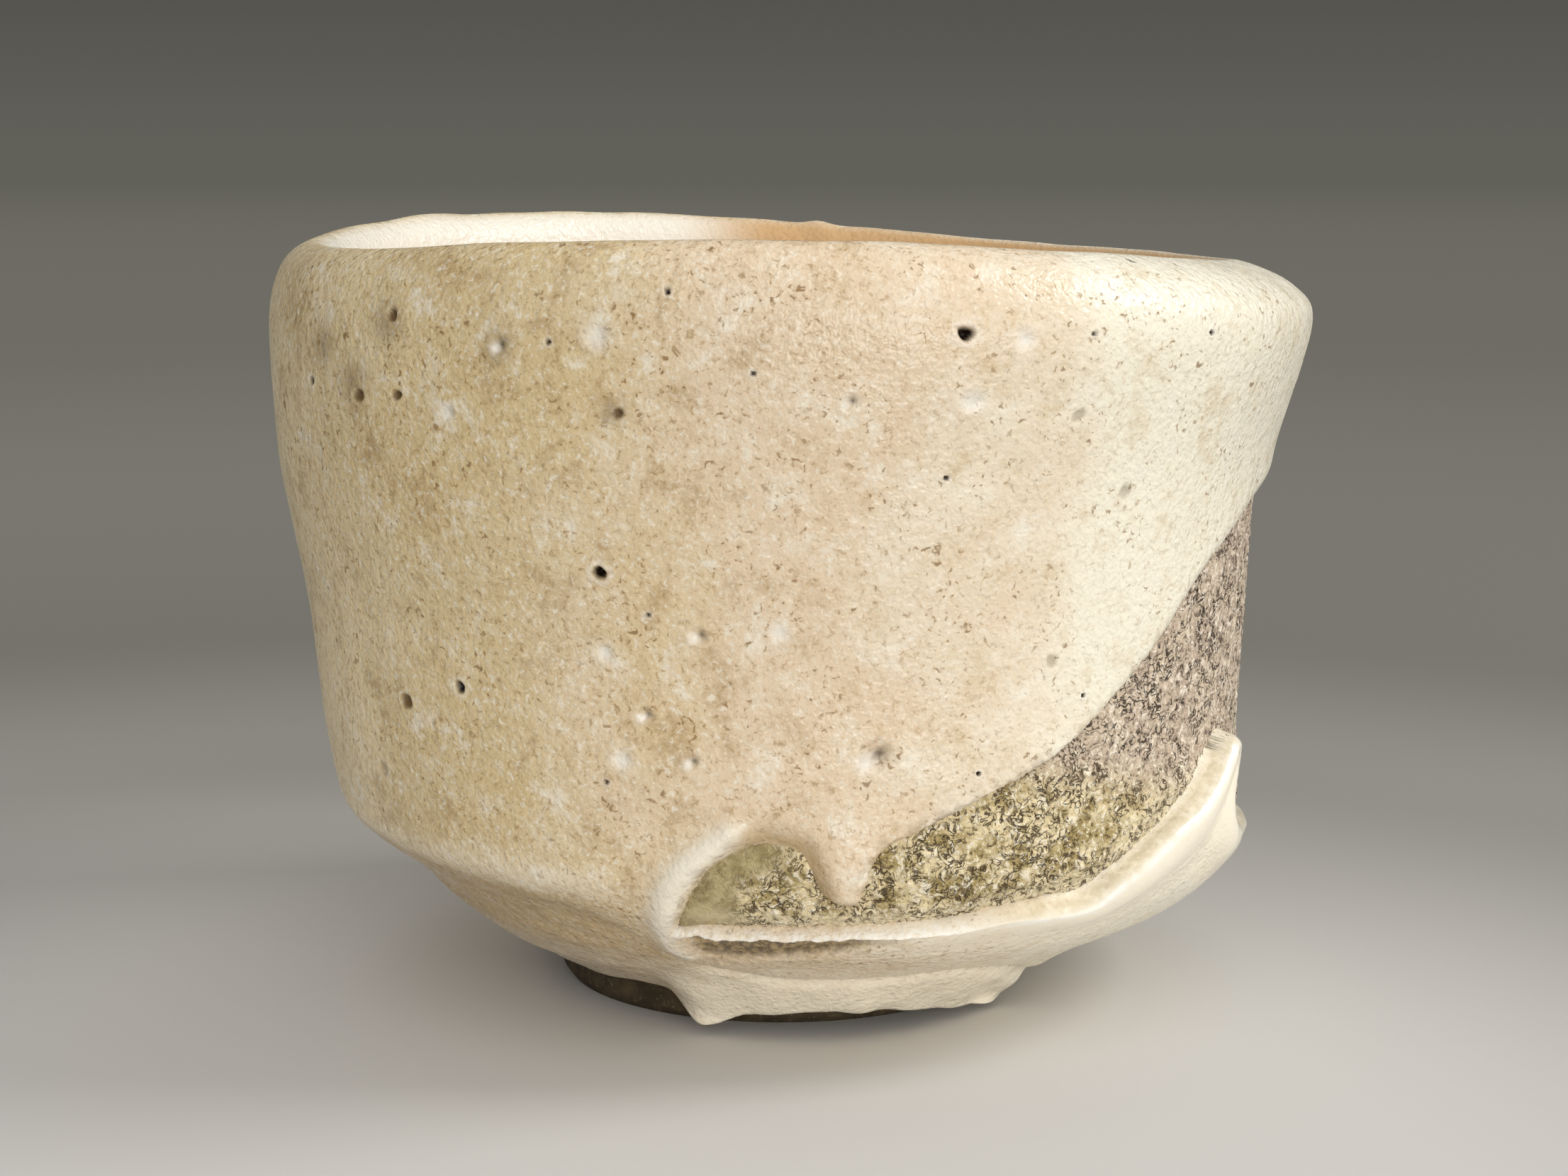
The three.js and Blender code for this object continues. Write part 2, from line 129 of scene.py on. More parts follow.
# The thick edge along the window's foot: its height above the clay and its rounding, by angle
ROLL_ANGLES = (-15, 0, 15, 25, 30, 36, 44, 52, 58, 62, 65, 69, 74, 80, 100, 135, 143)
ROLL_HEIGHTS = (1.7, 1.8, 1.9, 2.2, 2.6, 3.0, 3.3, 3.4, 3.5, 3.4, 3.0, 2.3, 2.0, 2.0, 1.8, 1.6, 1.5)
ROLL_ROUNDS = (0.5, 0.45, 0.5, 0.7, 0.9, 1.1, 1.2, 1.3, 1.4, 1.4, 1.3, 1.2, 1.2, 1.3, 1.5, 1.5, 1.3)
ROLL_FADE = 3.4
STRIPS = {"glaze_roll": (-15.2, 60.2), "glaze_lobe": (72.0, 143.0)}
STRIP_STEP = 0.4
STRIP_BLUR = 9
STRIP_OUT = (
    -0.9, -0.5, -0.25, 0, 0.12, 0.25, 0.4, 0.55, 0.7, 0.85, 1.0, 1.15, 1.3, 1.45, 1.6, 1.75, 1.9, 2.05, 2.2,
    2.4, 2.6, 2.9, 3.3, 3.8, 4.4, 5.0, 5.6,
)
STRIP_OVERHANG = 0.9
STRIP_SINK = 0.7
STRIP_LIFT = 0.03
STRIP_DIP = 0.3

# The window's upper edge: how wide the glaze rounds off and how much it slopes, by angle
EDGE_ANGLES = (-14, -10, -7, -3, 2, 4.5, 6.2, 8.5, 14, 25, 40, 60, 146)
EDGE_WIDTHS = (1.6, 1.8, 2.4, 3.6, 3.2, 1.8, 1.4, 1.3, 1.3, 1.3, 1.6, 2.2, 2.2)
EDGE_SLOPES = (0.0, 0.0, 0.3, 0.8, 0.7, 0.3, 0.0, 0.0, 0.0, 0.0, 0.0, 0.0, 0.0)

# Height at which the glaze ends above the foot, by angle
HEM_ANGLES = (-180, -60, -32, -24, -18, -12, -6, 4, 13, 28, 41, 50, 58, 66, 90, 180)
HEM_HEIGHTS = (2.0, 2.6, 3.3, 2.8, 2.3, 2.7, 3.5, 4.0, 4.0, 3.4, 2.4, 1.9, 2.1, 2.2, 2.0, 2.0)

# Drips on the foot: angle, height, half width, half height, rise
DRIPS = {"drip_left": (-17.0, 1.4, 4.8, 2.4, 0.9), "drip_right": (49.0, 1.6, 3.2, 2.4, 1.5)}


def spline(points, per_span):
    """A uniform Catmull-Rom curve through points, as rows of (radius, height)."""
    points = np.array(points, float)
    padded = np.vstack([points[:1], points, points[-1:]])
    rows = []
    for i in range(len(points) - 1):
        a, b, c, d = padded[i:i + 4]
        t = np.arange(per_span)[:, None] / per_span
        slope_b = (c - a) / 2
        slope_c = (d - b) / 2
        cubic = 2 * (b - c) + slope_b + slope_c
        square = 3 * (c - b) - 2 * slope_b - slope_c
        rows.append(cubic * t ** 3 + square * t ** 2 + slope_b * t + b)
    return np.vstack(rows + [points[-1:]])


def lengths_along(points):
    """Length along a curve from its start to each of its points."""
    return np.concatenate([[0.0], np.cumsum(np.hypot(*np.diff(points, axis=0).T))])


class Profile:
    """A curve in (radius, height) that can be asked for points by length, lifted off its face."""

    def __init__(self, points, facing):
        self.points = points
        self.lengths = lengths_along(points)
        self.total = self.lengths[-1]
        along = np.gradient(points, axis=0)
        along /= np.linalg.norm(along, axis=1)[:, None]
        self.normals = facing * np.stack([-along[:, 1], along[:, 0]], 1)

    def at(self, length, lift):
        """Radius and height at lengths, lifted by lift."""
        pick = [np.interp(length, self.lengths, column) for column in (*self.points.T, *self.normals.T)]
        return pick[0] + lift * pick[2], pick[1] + lift * pick[3]


outside = Profile(
    spline([LAP_FOOT, LAP_TOP] + [row[:2] for row in LEVELS[:0:-1]] + [HEM_END], 40), 1
)
wall_start = int(np.argmax(outside.points[:, 1]))


def length_at(height):
    """Length along the outside where the wall has a height."""
    wall = outside.points[wall_start:, 1][::-1]
    return np.interp(height, wall, outside.lengths[wall_start:][::-1])


def ease(value, low, high):
    """0 below low, 1 above high, smooth between them."""
    part = np.clip((value - low) / (high - low), 0, 1)
    return part * part * (3 - 2 * part)


def plateau(value, low, full, last, end):
    """0 below low, 1 from full to last, 0 above end, smooth between them."""
    return ease(value, low, full) * (1 - ease(value, last, end))


def bell(value, width):
    return np.exp(-(value / width) ** 2)


def rounded(part):
    """A quarter circle's height, from 0 at part 0 to 1 at part 1 and beyond."""
    return np.sqrt(1 - (1 - np.clip(part, 0, 1)) ** 2)


def formed(angle, radius, height):
    """Points of the hand-formed bowl in metres, from points of the true round one in millimetres."""
    heights = LEVELS[:, 1]
    top = np.clip(np.searchsorted(heights, height), 1, len(heights) - 1)
    low, high = LEVELS[top - 1], LEVELS[top]
    span = (high - low)[:, 1:2]
    part = np.clip((height[:, None] - low[:, 1:2]) / span, 0, 1)
    rest = 1 - part
    hand = low + (high - low) * part * part * (3 - 2 * part)
    hand = hand + span * part * rest * (rest * level_slopes[top - 1] - part * level_slopes[top])
    shift, forward, oval, rise, saddle, ripple = hand[:, 2:].T
    share = radius / (low[:, 0] + (high - low)[:, 0] * part[:, 0])
    turn = np.radians(angle)

    def wave(count, towards):
        return share ** count * np.cos(count * (turn - math.radians(towards)))

    moved = radius + oval * share * np.cos(2 * (turn - math.radians(OVAL_TOWARDS)))
    height = height + rise * wave(1, RAISED_SIDE) + saddle * wave(2, SADDLE_TOWARDS)
    height = height + ripple * wave(3, RIPPLE_TOWARDS)
    return np.stack([moved * np.sin(turn) + shift, -moved * np.cos(turn) - forward, height], 1) * MM


def cells(points, size, shift=0.0):
    """Distance to the nearest of scattered points, about 0 to 1, at points in metres."""
    scaled = points / (size * MM) + shift
    return np.array([noise.voronoi(Vector(p))[0][0] for p in scaled])


def grain(points, size, shift=0.0):
    """Smooth noise, about -1 to 1, at points in metres, with features of a size in millimetres."""
    scaled = points / (size * MM) + shift
    return np.array([noise.noise(Vector(p)) for p in scaled])


def flat_line(line, per_span=6):
    """A smooth line on the wall, as rows of (across, length) in millimetres."""
    curve = spline(line, per_span)
    return np.stack([curve[:, 0] * PER_DEGREE, length_at(curve[:, 1])], 1)


def distance_to(line, angle, length):
    """Distance in millimetres from points on the wall to a line."""
    spots = np.stack([angle * PER_DEGREE, length], 1)
    best = np.full(len(spots), np.inf)
    for a, b in zip(line[:-1], line[1:]):
        step = b - a
        part = np.clip((spots - a) @ step / (step @ step), 0, 1)
        best = np.minimum(best, np.linalg.norm(spots - a - part[:, None] * step, axis=1))
    return best


def inside(loop, angle, length):
    """True for points on the wall inside a closed loop."""
    x, y = angle * PER_DEGREE, length
    odd = np.zeros(len(x), bool)
    for (ax, ay), (bx, by) in zip(loop, np.roll(loop, -1, axis=0)):
        crosses = (ay > y) != (by > y)
        with np.errstate(divide="ignore", invalid="ignore"):
            odd ^= crosses & (x < ax + (y - ay) * (bx - ax) / (by - ay))
    return odd


foot_line = flat_line(WINDOW_FOOT)
top_line = flat_line(WINDOW_TOP)
window_loop = np.vstack([foot_line, top_line])
ash_line = flat_line(ASH_EDGE)
ridge_line = flat_line(RIDGE)
bead_line = flat_line(BEAD)
crease_line = flat_line(CREASE)
hem_line = spline(list(zip(HEM_ANGLES, HEM_HEIGHTS)), 8)
rim_length = outside.lengths[wall_start]


def window_depth(angle, length):
    """Distance outside the window's edge in millimetres, negative inside the window."""
    gap = distance_to(np.vstack([window_loop, window_loop[:1]]), angle, length)
    return np.where(inside(window_loop, angle, length), -gap, gap)


def ash_depth(angle, length):
    """Distance below the ash crust's upper edge in millimetres, negative beyond it."""
    across, edge_lengths = ash_line[::-1].T
    edge = np.interp(angle * PER_DEGREE, across, edge_lengths)
    below = (length > edge) & (angle * PER_DEGREE < across[-1])
    return np.where(below, 1, -1) * distance_to(ash_line, angle, length)


# Pits and smudges in the glaze by kind, as (angle, height, radius, depth)
PITS = {
    "black": [
        (-17.8, 53.2, 0.75, 1.2), (16.4, 76.0, 0.8, 1.2), (-58, 71, 0.6, 0.9), (-37.2, 40.1, 0.7, 0.8),
        (-11.4, 79.8, 0.35, 0.5), (-23.4, 75.9, 0.3, 0.5), (-3.4, 72.9, 0.3, 0.5), (-13.2, 49.2, 0.3, 0.5),
        (-19.2, 32, 0.3, 0.5), (20.8, 32.7, 0.3, 0.5), (33.6, 39.6, 0.3, 0.5), (16.6, 62.6, 0.3, 0.5),
        (46, 75.1, 0.35, 0.5), (30, 75.6, 0.3, 0.5), (40, 83.4, 0.45, 0.4), (-100, 62, 0.5, 0.8),
        (-152, 66, 0.5, 0.8), (-120, 58, 0.3, 0.5), (160, 33, 0.35, 0.5), (120, 68, 0.35, 0.5),
    ],
    "dark": [
        (-28.8, 75.6, 0.9, 0.5), (6, 70, 0.9, 0.5), (-8.2, 47.2, 1.0, 0.6), (-14.4, 39, 0.9, 0.6),
        (-9.6, 34.5, 0.9, 0.5), (9.6, 35, 1.9, 0.8), (-128, 48, 0.8, 0.7), (172, 55, 0.8, 0.7),
    ],
    "brown": [
        (-42.8, 78, 0.8, 0.6), (-48.2, 70, 1.0, 0.6), (-42, 70.3, 0.7, 0.6), (-46.4, 37.5, 1.0, 0.6),
        (-16, 69.2, 0.7, 0.4), (150, 70, 0.7, 0.6), (-112, 34, 0.9, 0.5), (-174, 76, 0.8, 0.5),
    ],
    "tan": [
        (37.8, 60.1, 0.9, 0.4), (-53.2, 29, 1.1, 0.4), (29.6, 67.9, 0.8, 0.3), (29.2, 43.6, 0.8, 0.3),
        (80, 69, 0.8, 0.4),
    ],
    "white": [
        (-35, 68.7, 1.0, 0.4), (-18.4, 76.4, 1.3, 0.35), (22.4, 75.3, 1.1, 0.4), (17.8, 69.7, 1.2, 0.4),
        (-18.4, 45.1, 1.1, 0.4), (0, 47.6, 1.0, 0.3), (-17.2, 34.4, 1.2, 0.3), (-165, 38, 1.0, 0.5),
        (-140, 72, 1.1, 0.4), (-88, 45, 1.0, 0.4), (105, 73, 1.0, 0.4),
    ],
    "smudge": [
        (-130, 70, 2.4, 0), (-160, 52, 2.8, 0), (165, 62, 2.2, 0), (-49, 71.5, 2.8, 0),
        (-43.5, 77.2, 2.4, 0), (-55, 75, 2.2, 0), (-29, 75.4, 1.8, 0), (-16.4, 69.4, 1.4, 0),
    ],
}

# What each kind leaves on the glaze: a mark, its strength, and the part of the pit that it covers
# The lit and shaded parts paint a highlight and shade on a dent's sides, for light from the upper right
PIT_MARKS = {
    "black": [("dark_pit_and_shade", 1.0, "middle"), ("white_pit_and_highlight", 0.35, "brim")],
    "dark": [("dark_pit_and_shade", 0.75, "shaded"), ("white_pit_and_highlight", 0.8, "lit")],
    "brown": [("rust_and_shade", 0.95, "middle"), ("dark_pit_and_shade", 0.4, "shaded")],
    "tan": [("rust_and_shade", 0.4, "middle")],
    "white": [("white_pit_and_highlight", 0.75, "whole"), ("rust_and_shade", 0.3, "shaded")],
    "smudge": [("rust_and_shade", 0.5, "whole")],
}
SHALLOW_KINDS = ("tan", "white")
SHALLOW_SHARE = 0.6


def pit_reach(angle, length, pit, right=0.0, down=0.0):
    """Distance from a pit's middle, or from a spot beside it, in the pit's own radii."""
    across = (angle - pit[0]) * PER_DEGREE / pit[2] - right
    along = (length - length_at(pit[1])) / pit[2] - down
    return np.hypot(across, along)


def net_of(angles, lengths, refinements):
    """A flat net in (angle, length), with faces cut finer where a refinement chooses them."""
    net = bmesh.new()
    rows = [[net.verts.new((a, s, 0)) for a in angles] for s in lengths]
    for upper, lower in zip(rows[:-1], rows[1:]):
        for i in range(len(angles) - 1):
            net.faces.new((upper[i], lower[i], lower[i + 1], upper[i + 1]))
    for chooses, cuts in refinements:
        centres = np.array([face.calc_center_median()[:2] for face in net.faces])
        chosen = chooses(centres[:, 0], centres[:, 1])
        edges = {edge for face, take in zip(net.faces, chosen) if take for edge in face.edges}
        bmesh.ops.subdivide_edges(net, edges=list(edges), cuts=cuts, use_grid_fill=True)
    net.verts.index_update()
    spots = np.array([vert.co[:2] for vert in net.verts])
    faces = [[vert.index for vert in face.verts] for face in net.faces]
    net.free()
    return spots[:, 0], spots[:, 1], faces


def joined(points, faces, marks):
    """The same mesh with corners at one place made one, as at the seam at the back and at the axis."""
    keys = np.round(points / (0.01 * MM)).astype(np.int64)
    _, first, back = np.unique(keys, axis=0, return_index=True, return_inverse=True)
    back = back.ravel()
    kept = []
    for face in faces:
        corners = [back[i] for i in face]
        corners = [c for i, c in enumerate(corners) if c != corners[i - 1]]
        if len(set(corners)) > 2:
            kept.append(corners)
    return points[first], kept, {name: values[first] for name, values in marks.items()}


def normals_of(points, faces):
    """Smooth normals at the corners of a mesh."""
    thirds = np.array([(face[0], face[len(face) // 3], face[2 * len(face) // 3]) for face in faces])
    a, b, c = points[thirds.T]
    turns = np.repeat(np.cross(b - a, c - a), [len(face) for face in faces], axis=0)
    total = np.zeros_like(points)
    np.add.at(total, np.concatenate(faces), turns)
    return total / np.maximum(np.linalg.norm(total, axis=1), 1e-12)[:, None]


def placed_piece(name, node, slot, material, points, faces, marks, normals=None):
    """An object for a CAD node, from a mesh with its marks' values at its corners for the material."""
    mesh = bpy.data.meshes.new(name)
    mesh.from_pydata(points.tolist(), [], faces)
    mesh.update()
    mesh.polygons.foreach_set("use_smooth", np.ones(len(mesh.polygons), bool))
    if normals is not None:
        mesh.normals_split_custom_set_from_vertices(normals.tolist())
    for mark, values in marks.items():
        layer = mesh.attributes.new(mark, "FLOAT", "POINT")
        layer.data.foreach_set("value", np.ascontiguousarray(values, np.float32))
    obj = bpy.data.objects.new(name, mesh)
    bpy.context.collection.objects.link(obj)
    mesh.materials.append(material)
    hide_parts(node)
    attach(obj, "root")


def part_of(points, faces, marks, normals, chosen):
    """The chosen faces of a mesh as a mesh of their own."""
    faces = [face for face, take in zip(faces, chosen) if take]
    used = np.unique(np.concatenate([np.array(face) for face in faces]))
    place = np.full(len(points), -1)
    place[used] = np.arange(len(used))
    faces = [place[face].tolist() for face in faces]
    return points[used], faces, {name: values[used] for name, values in marks.items()}, normals[used]


def thickened(points, faces, marks, normals):
    """A closed shell: the sheet, its back, and walls between their edges."""
    count = len(points)
    edges = {}
    for face in faces:
        for a, b in zip(face, face[1:] + face[:1]):
            edges[(a, b)] = True
    walls = [[b, a, a + count, b + count] for a, b in edges if (b, a) not in edges]
    back = [[i + count for i in reversed(face)] for face in faces]
    kept = {name: np.concatenate([values, values]) for name, values in marks.items() if name != "back"}
    return np.vstack([points, marks["back"]]), faces + back + walls, kept, np.vstack([normals, -normals])


# The outer glaze

COAT_ANGLES = np.linspace(-180, 180, 361)
COAT_LENGTHS = np.linspace(0, outside.total, 131)
EDGE_BAND = 4.5
PULL_REACH = 0.3
FACET_LINE = [(-80, 21.5), (-55.4, 19.8), (-30.2, 17.4), (-20.8, 13.0), (-14, 8.0)]
LEDGE_CHIPS = 0.3
GROOVE_DEPTH = 0.55
TONGUE_ANGLE = 6.0
TONGUE_RISE = 0.5
RIDGE_WIDTH = 1.5
RIDGE_RISE = 0.9
BEAD_WIDTH = 0.55
BEAD_RISE = 0.3
CREASE_WIDTH = 0.9
CREASE_DEPTH = 0.8
SKIRT_TOP = 7.5
SKIRT_FULL = 2.5
FLARE = 2.4
FLARE_WAVES = 0.9
KNOB_ANGLE = 173.8
KNOB_RISE = 0.6
LUMPS = 0.36
SWELLS = 0.14
HEM_ROUND = 1.3
LAP_END = 2.6
TONGUE_PIECE_ANGLE = 5.6
TONGUE_PIECE_REACH = 4.2
TONGUE_PIECE_FOOT = 17.8
TONGUE_PIECE_TOP = 26
DRIP_PIECE_REACH = 1.1
COAT_SLOTS = {
    "outer_glaze": "outer_glaze",
    "glaze_tongue": "thick_glaze",
    "drip_left": "thick_glaze",
    "drip_right": "thick_glaze",
}


def near_edge(angle, length):
    """Along the window's edge, and the side of the roll."""
    depth = window_depth(angle, length)
    band = (depth > -2.0) & (depth < EDGE_BAND)
    roll_side = (angle > -18) & (angle < 75) & (length > length_at(34.0)) & (depth < 9) & (depth > -2.0)
    return band | roll_side


def near_foot(angle, length):
    return (np.abs(angle) < 95) & (length > length_at(6.5))


def near_pits(angle, length):
    chosen = np.zeros(len(angle), bool)
    for pit in sum(PITS.values(), []):
        chosen |= (pit_reach(angle, length, pit) < 1.6 + 0.5 / pit[2]) & (pit[3] > 0)
    return chosen


def near_roll_end(angle, length):
    return (angle > 54) & (angle < 75) & (length > length_at(34.0)) & (length < length_at(18.5))


def near_far_edge(angle, length):
    depth = window_depth(angle, length)
    return (angle > 125) & (depth > -1.2) & (depth < 1.8)


def pull_to_edge(angle, length):
    """Moves points that nearly lie on the window's edge onto it, for a clean edge."""
    step = 0.05
    depth = window_depth(angle, length)
    near = np.abs(depth) < PULL_REACH
    a, s, d = angle[near], length[near], depth[near]
    slope_a = (window_depth(a + step / PER_DEGREE, s) - d) / step
    slope_s = (window_depth(a, s + step) - d) / step
    size = np.maximum(slope_a ** 2 + slope_s ** 2, 0.25)
    angle[near] -= d * slope_a / size / PER_DEGREE
    length[near] -= d * slope_s / size
    return angle, length


def hem_length(angle):
    """Length along the outside at which the glaze ends above the foot."""
    wander = 0.2 * np.sin(np.radians(angle * 9 + 40)) + 0.12 * np.sin(np.radians(angle * 23 + 10))
    return length_at(np.interp(angle, *hem_line.T)) + wander


def roll_shape(angle, to_foot):
    """Height of the glaze above the clay along the window's foot: a round shoulder and a long fall."""
    crown = np.interp(angle, ROLL_ANGLES, ROLL_HEIGHTS, left=COAT, right=COAT)
    bend = np.interp(angle, ROLL_ANGLES, ROLL_ROUNDS)
    fall = COAT + (crown - COAT) * bell(np.maximum(to_foot - bend, 0), ROLL_FADE)
    return np.where(to_foot < bend, crown * rounded(to_foot / bend), fall)


def lip_shape(angle, to_top):
    """Share of the glaze's height near the window's upper edge."""
    part = to_top / np.interp(angle, EDGE_ANGLES, EDGE_WIDTHS)
    slope = np.interp(angle, EDGE_ANGLES, EDGE_SLOPES)
    return (1 - slope) * rounded(part) + slope * ease(part, -0.25, 1.1)


def pitted(angle, length, rise):
    """The glaze with its pits, where they are dark, rusty or white, with painted shade and highlights on
    their sides.
    """
    pit_marks = {name: np.zeros(len(angle)) for name in ("dark_pit_and_shade", "rust_and_shade", "white_pit_and_highlight")}
    ragged = 1 + 0.3 * grain(np.stack([angle * PER_DEGREE, length, 0 * angle], 1) * MM, 0.8, 4.0)
    for kind, pits in PITS.items():
        for pit in pits:
            reach = pit_reach(angle, length, pit) * ragged
            depth = pit[3] * (SHALLOW_SHARE if kind in SHALLOW_KINDS else 1.0)
            if depth > 0:
                rise = rise - depth * np.clip(1 - reach ** 2, 0, 1) ** 1.5 + 0.05 * bell(reach - 1.25, 0.3)
            # Lit and shaded: where the dent's painted highlight and painted shade go
            parts = {
                "middle": 1 - ease(reach, 0.6, 1.05),
                "brim": bell(reach - 1.35, 0.35),
                "whole": bell(reach, 0.9),
                "lit": bell(pit_reach(angle, length, pit, -0.55, 0.3) * ragged, 0.55),
                "shaded": bell(pit_reach(angle, length, pit, 0.25, -0.1) * ragged, 0.36),
            }
            for name, strength, part in PIT_MARKS[kind]:
                pit_marks[name] = np.maximum(pit_marks[name], strength * parts[part])
    return rise, pit_marks


class Spots:
    """Places on the outside, with what the forms of the glaze need to know about them."""

    def __init__(self, angle, length, depth, to_foot):
        self.angle = angle
        self.length = length
        self.depth = depth
        self.outer = depth > 0
        self.to_foot = to_foot
        self.to_top = distance_to(top_line, angle, length)
        radius, self.height = outside.at(length, np.zeros(len(angle)))
        self.plain = formed(angle, radius, self.height)

    def from_line(self, line):
        return distance_to(line, self.angle, self.length)


def broken_ledge(s):
    """The chipped ledge along the window's lower left and the rough groove under it."""
    ledge_height = np.interp(s.angle, *np.array(WINDOW_FOOT[:10]).T)
    below = s.outer & (s.angle > -17) & (s.height < ledge_height)
    chips = grain(s.plain, 0.8, 30.0)
    ragged = s.to_foot + 0.3 * grain(s.plain, 1.7, 12.0) + 0.2 * chips
    above_band_foot = s.height - np.interp(s.angle, *np.array(BAND_FOOT).T)
    groove = below * ease(ragged, 0.4, 0.75) * ease(above_band_foot + 0.5 * chips, -0.5, 0.6)
    groove = groove * plateau(s.angle, -15, -12.5, 4, 13)
    ledge = below * (1 - ease(ragged, 0.5, 0.9)) * (1 - ease(s.angle, 16, 24))
    return LEDGE_CHIPS * ledge * chips - groove * (GROOVE_DEPTH + LEDGE_CHIPS * chips), groove, ragged


def tongue_share(s):
    """1 on the middle of the tongue, falling to 0 round it."""
    across = bell((s.angle - TONGUE_ANGLE) * PER_DEGREE, 3.0)
    tongue = across * bell(np.maximum(s.height - 22.0, 0), 6.0) * s.outer
    return tongue * plateau(s.height, 18, 20, 34, 38)


def skirt(s):
    """The fold above the foot, the flare below it and the drips."""
    front = plateau(s.angle, -26, -16, 54, 60)
    crease = front * bell(s.from_line(crease_line), CREASE_WIDTH)
    below = front * ease(s.length, length_at(SKIRT_TOP), length_at(SKIRT_FULL))
    rise = below * (FLARE + FLARE_WAVES * grain(s.plain, 4.5, 21.0)) - CREASE_DEPTH * crease
    for centre, level, half_width, half_height, bulge in DRIPS.values():
        across = bell((s.angle - centre) * FOOT_PER_DEGREE, half_width * 0.8)
        rise = rise + bulge * across * bell(s.length - length_at(level), half_height)
    return rise


def back_rim(s):
    """Waves and a knob on the rim at the back."""
    at_back = ease(np.abs(s.angle), 95, 130) * bell(s.length - rim_length, 3.0)
    knob = KNOB_RISE * bell((s.angle - KNOB_ANGLE) * PER_DEGREE, 2.0)
    return at_back * (0.3 * grain(s.plain, 8.0, 1.0) + knob)


def left_hip(s):
    """The hip on the left, with a crest, a hollow under it and a streaked facet."""
    left = plateau(s.angle, -120, -95, -28, -14)
    facet = left * ease(np.interp(s.angle, *np.array(FACET_LINE).T) - s.height, 0, 1.6)
    streaks = grain(s.plain * np.array([0.3, 0.3, 2.4]), 1.5, 3.0)
    crest = left * (0.5 * bell(s.height - 19.5, 2.0) - 0.9 * bell(s.height - 13.5, 3.0))
    return crest - facet * (0.2 + 0.2 * streaks * (s.height > 6)), facet


def skin_waves(s):
    lumps = 0.5 + 0.5 * grain(s.plain, 17.0, 5.0)
    swells = 0.5 + 0.5 * grain(s.plain * np.array([1, 1, 1.6]), 7.0, 9.0)
    return LUMPS * lumps + SWELLS * swells


def ended(s, rise):
    """The glaze sunk out of sight in the window, past its hem and at the inner end of its lap."""
    rise = np.where(s.outer, rise, -0.15 + 1.2 * s.depth)
    over_hem = hem_length(s.angle) - s.length
    rise = np.where(over_hem < HEM_ROUND, rise * rounded(over_hem / HEM_ROUND), rise)
    rise = np.where(over_hem < 0, -0.2 + 0.8 * over_hem, rise)
    lap = ease(s.length, 0.0, LAP_END)
    return np.where(s.length < LAP_END, -0.5 + (rise + 0.5) * lap, rise)


def coat_shape(angle, length, depth, to_foot):
    """Height of the glaze above the clay in millimetres, and its marks."""
    s = Spots(angle, length, depth, to_foot)
    height, outer = s.height, s.outer
    broken, groove, ragged = broken_ledge(s)
    tongue = tongue_share(s)
    ridge = outer * bell(s.from_line(ridge_line), RIDGE_WIDTH) * (0.5 + 0.5 * ease(height, 13, 18))
    bead = outer * bell(s.from_line(bead_line), BEAD_WIDTH)
    hip, facet = left_hip(s)
    rise = roll_shape(angle, to_foot) * lip_shape(angle, s.to_top) + broken
    rise = rise + TONGUE_RISE * tongue * rounded(s.to_top / 1.6) + RIDGE_RISE * ridge + BEAD_RISE * bead
    rise = rise + skirt(s) + back_rim(s) + hip - skin_waves(s)
    rise, pit_marks = pitted(angle, length, rise)
    rise = ended(s, rise)
    arch = plateau(angle, -8, -3, 3, 5.5) * (height > 18)
    milk = np.clip((rise - COAT + 0.25) / 1.2, 0, 1) + 0.9 * ridge - 0.6 * tongue
    # Paler low skirt and roll body: thick white glaze, and painted light on these downward-facing parts
    pale = 1 - ease(height, 7, 11) + 0.6 * (to_foot < 9) * ease(angle, 24, 36)
    marks = {
        "lap": 1 - ease(length, rim_length - 2.2, rim_length + 0.4),
        "face": outer * (1 - ease(to_foot, 0.5, 1.3)) * ease(angle, 12, 26),
        "thin": bell(s.to_top, 1.3) * outer,
        "arch": arch * bell(s.to_top - 0.8, 1.7) * outer,
        "milk": np.clip(milk, 0, 1),
        "skirt": np.clip(pale, 0, 1) * outer,
        "groove": groove,
        "crust": outer * bell(ragged - 0.3, 0.4) * (1 - ease(angle, 16, 28)) * (height < 18),
        # The roll's crest, whitened as a painted highlight
        "crest": outer * bell(to_foot - 0.95, 0.32) * plateau(angle, 18, 28, 62, 66),
        "smooth": outer * bell(np.maximum(to_foot - 1, 0), 3.5) * ease(angle, 10, 24) * (angle < 146),
        "facet": facet,
        **pit_marks,
    }
    return rise, marks


def coat_back(angle, length, rise):
    """The back of the glaze or the crust, a shell's thickness inside the clay."""
    return formed(angle, *outside.at(length, np.minimum(rise, 0) - COAT - SHELL))


def strip_share(angle, margin):
    """1 along the strips, falling to 0 over two degrees at a margin from their ends."""
    share = 0
    for start, end in STRIPS.values():
        low, high = start + margin, end - margin
        share = share + plateau(angle, low, low + 2, high - 2, high)
    return share


def strip_line(start, end):
    """The window's foot between two angles in even steps, and its directions away from the window."""
    line = flat_line(WINDOW_FOOT, 16)
    line = line[(line[:, 0] >= start * PER_DEGREE) & (line[:, 0] <= end * PER_DEGREE)]
    gone = lengths_along(line)
    stops = np.arange(0, gone[-1], STRIP_STEP)
    line = np.stack([np.interp(stops, gone, column) for column in line.T], 1)
    blur = np.hanning(STRIP_BLUR) / np.hanning(STRIP_BLUR).sum()
    padded = np.pad(np.gradient(line, axis=0), ((STRIP_BLUR // 2,) * 2, (0, 0)), mode="edge")
    along = np.stack([np.convolve(column, blur, mode="valid") for column in padded.T], 1)
    along /= np.linalg.norm(along, axis=1)[:, None]
    return line, np.stack([-along[:, 1], along[:, 0]], 1)


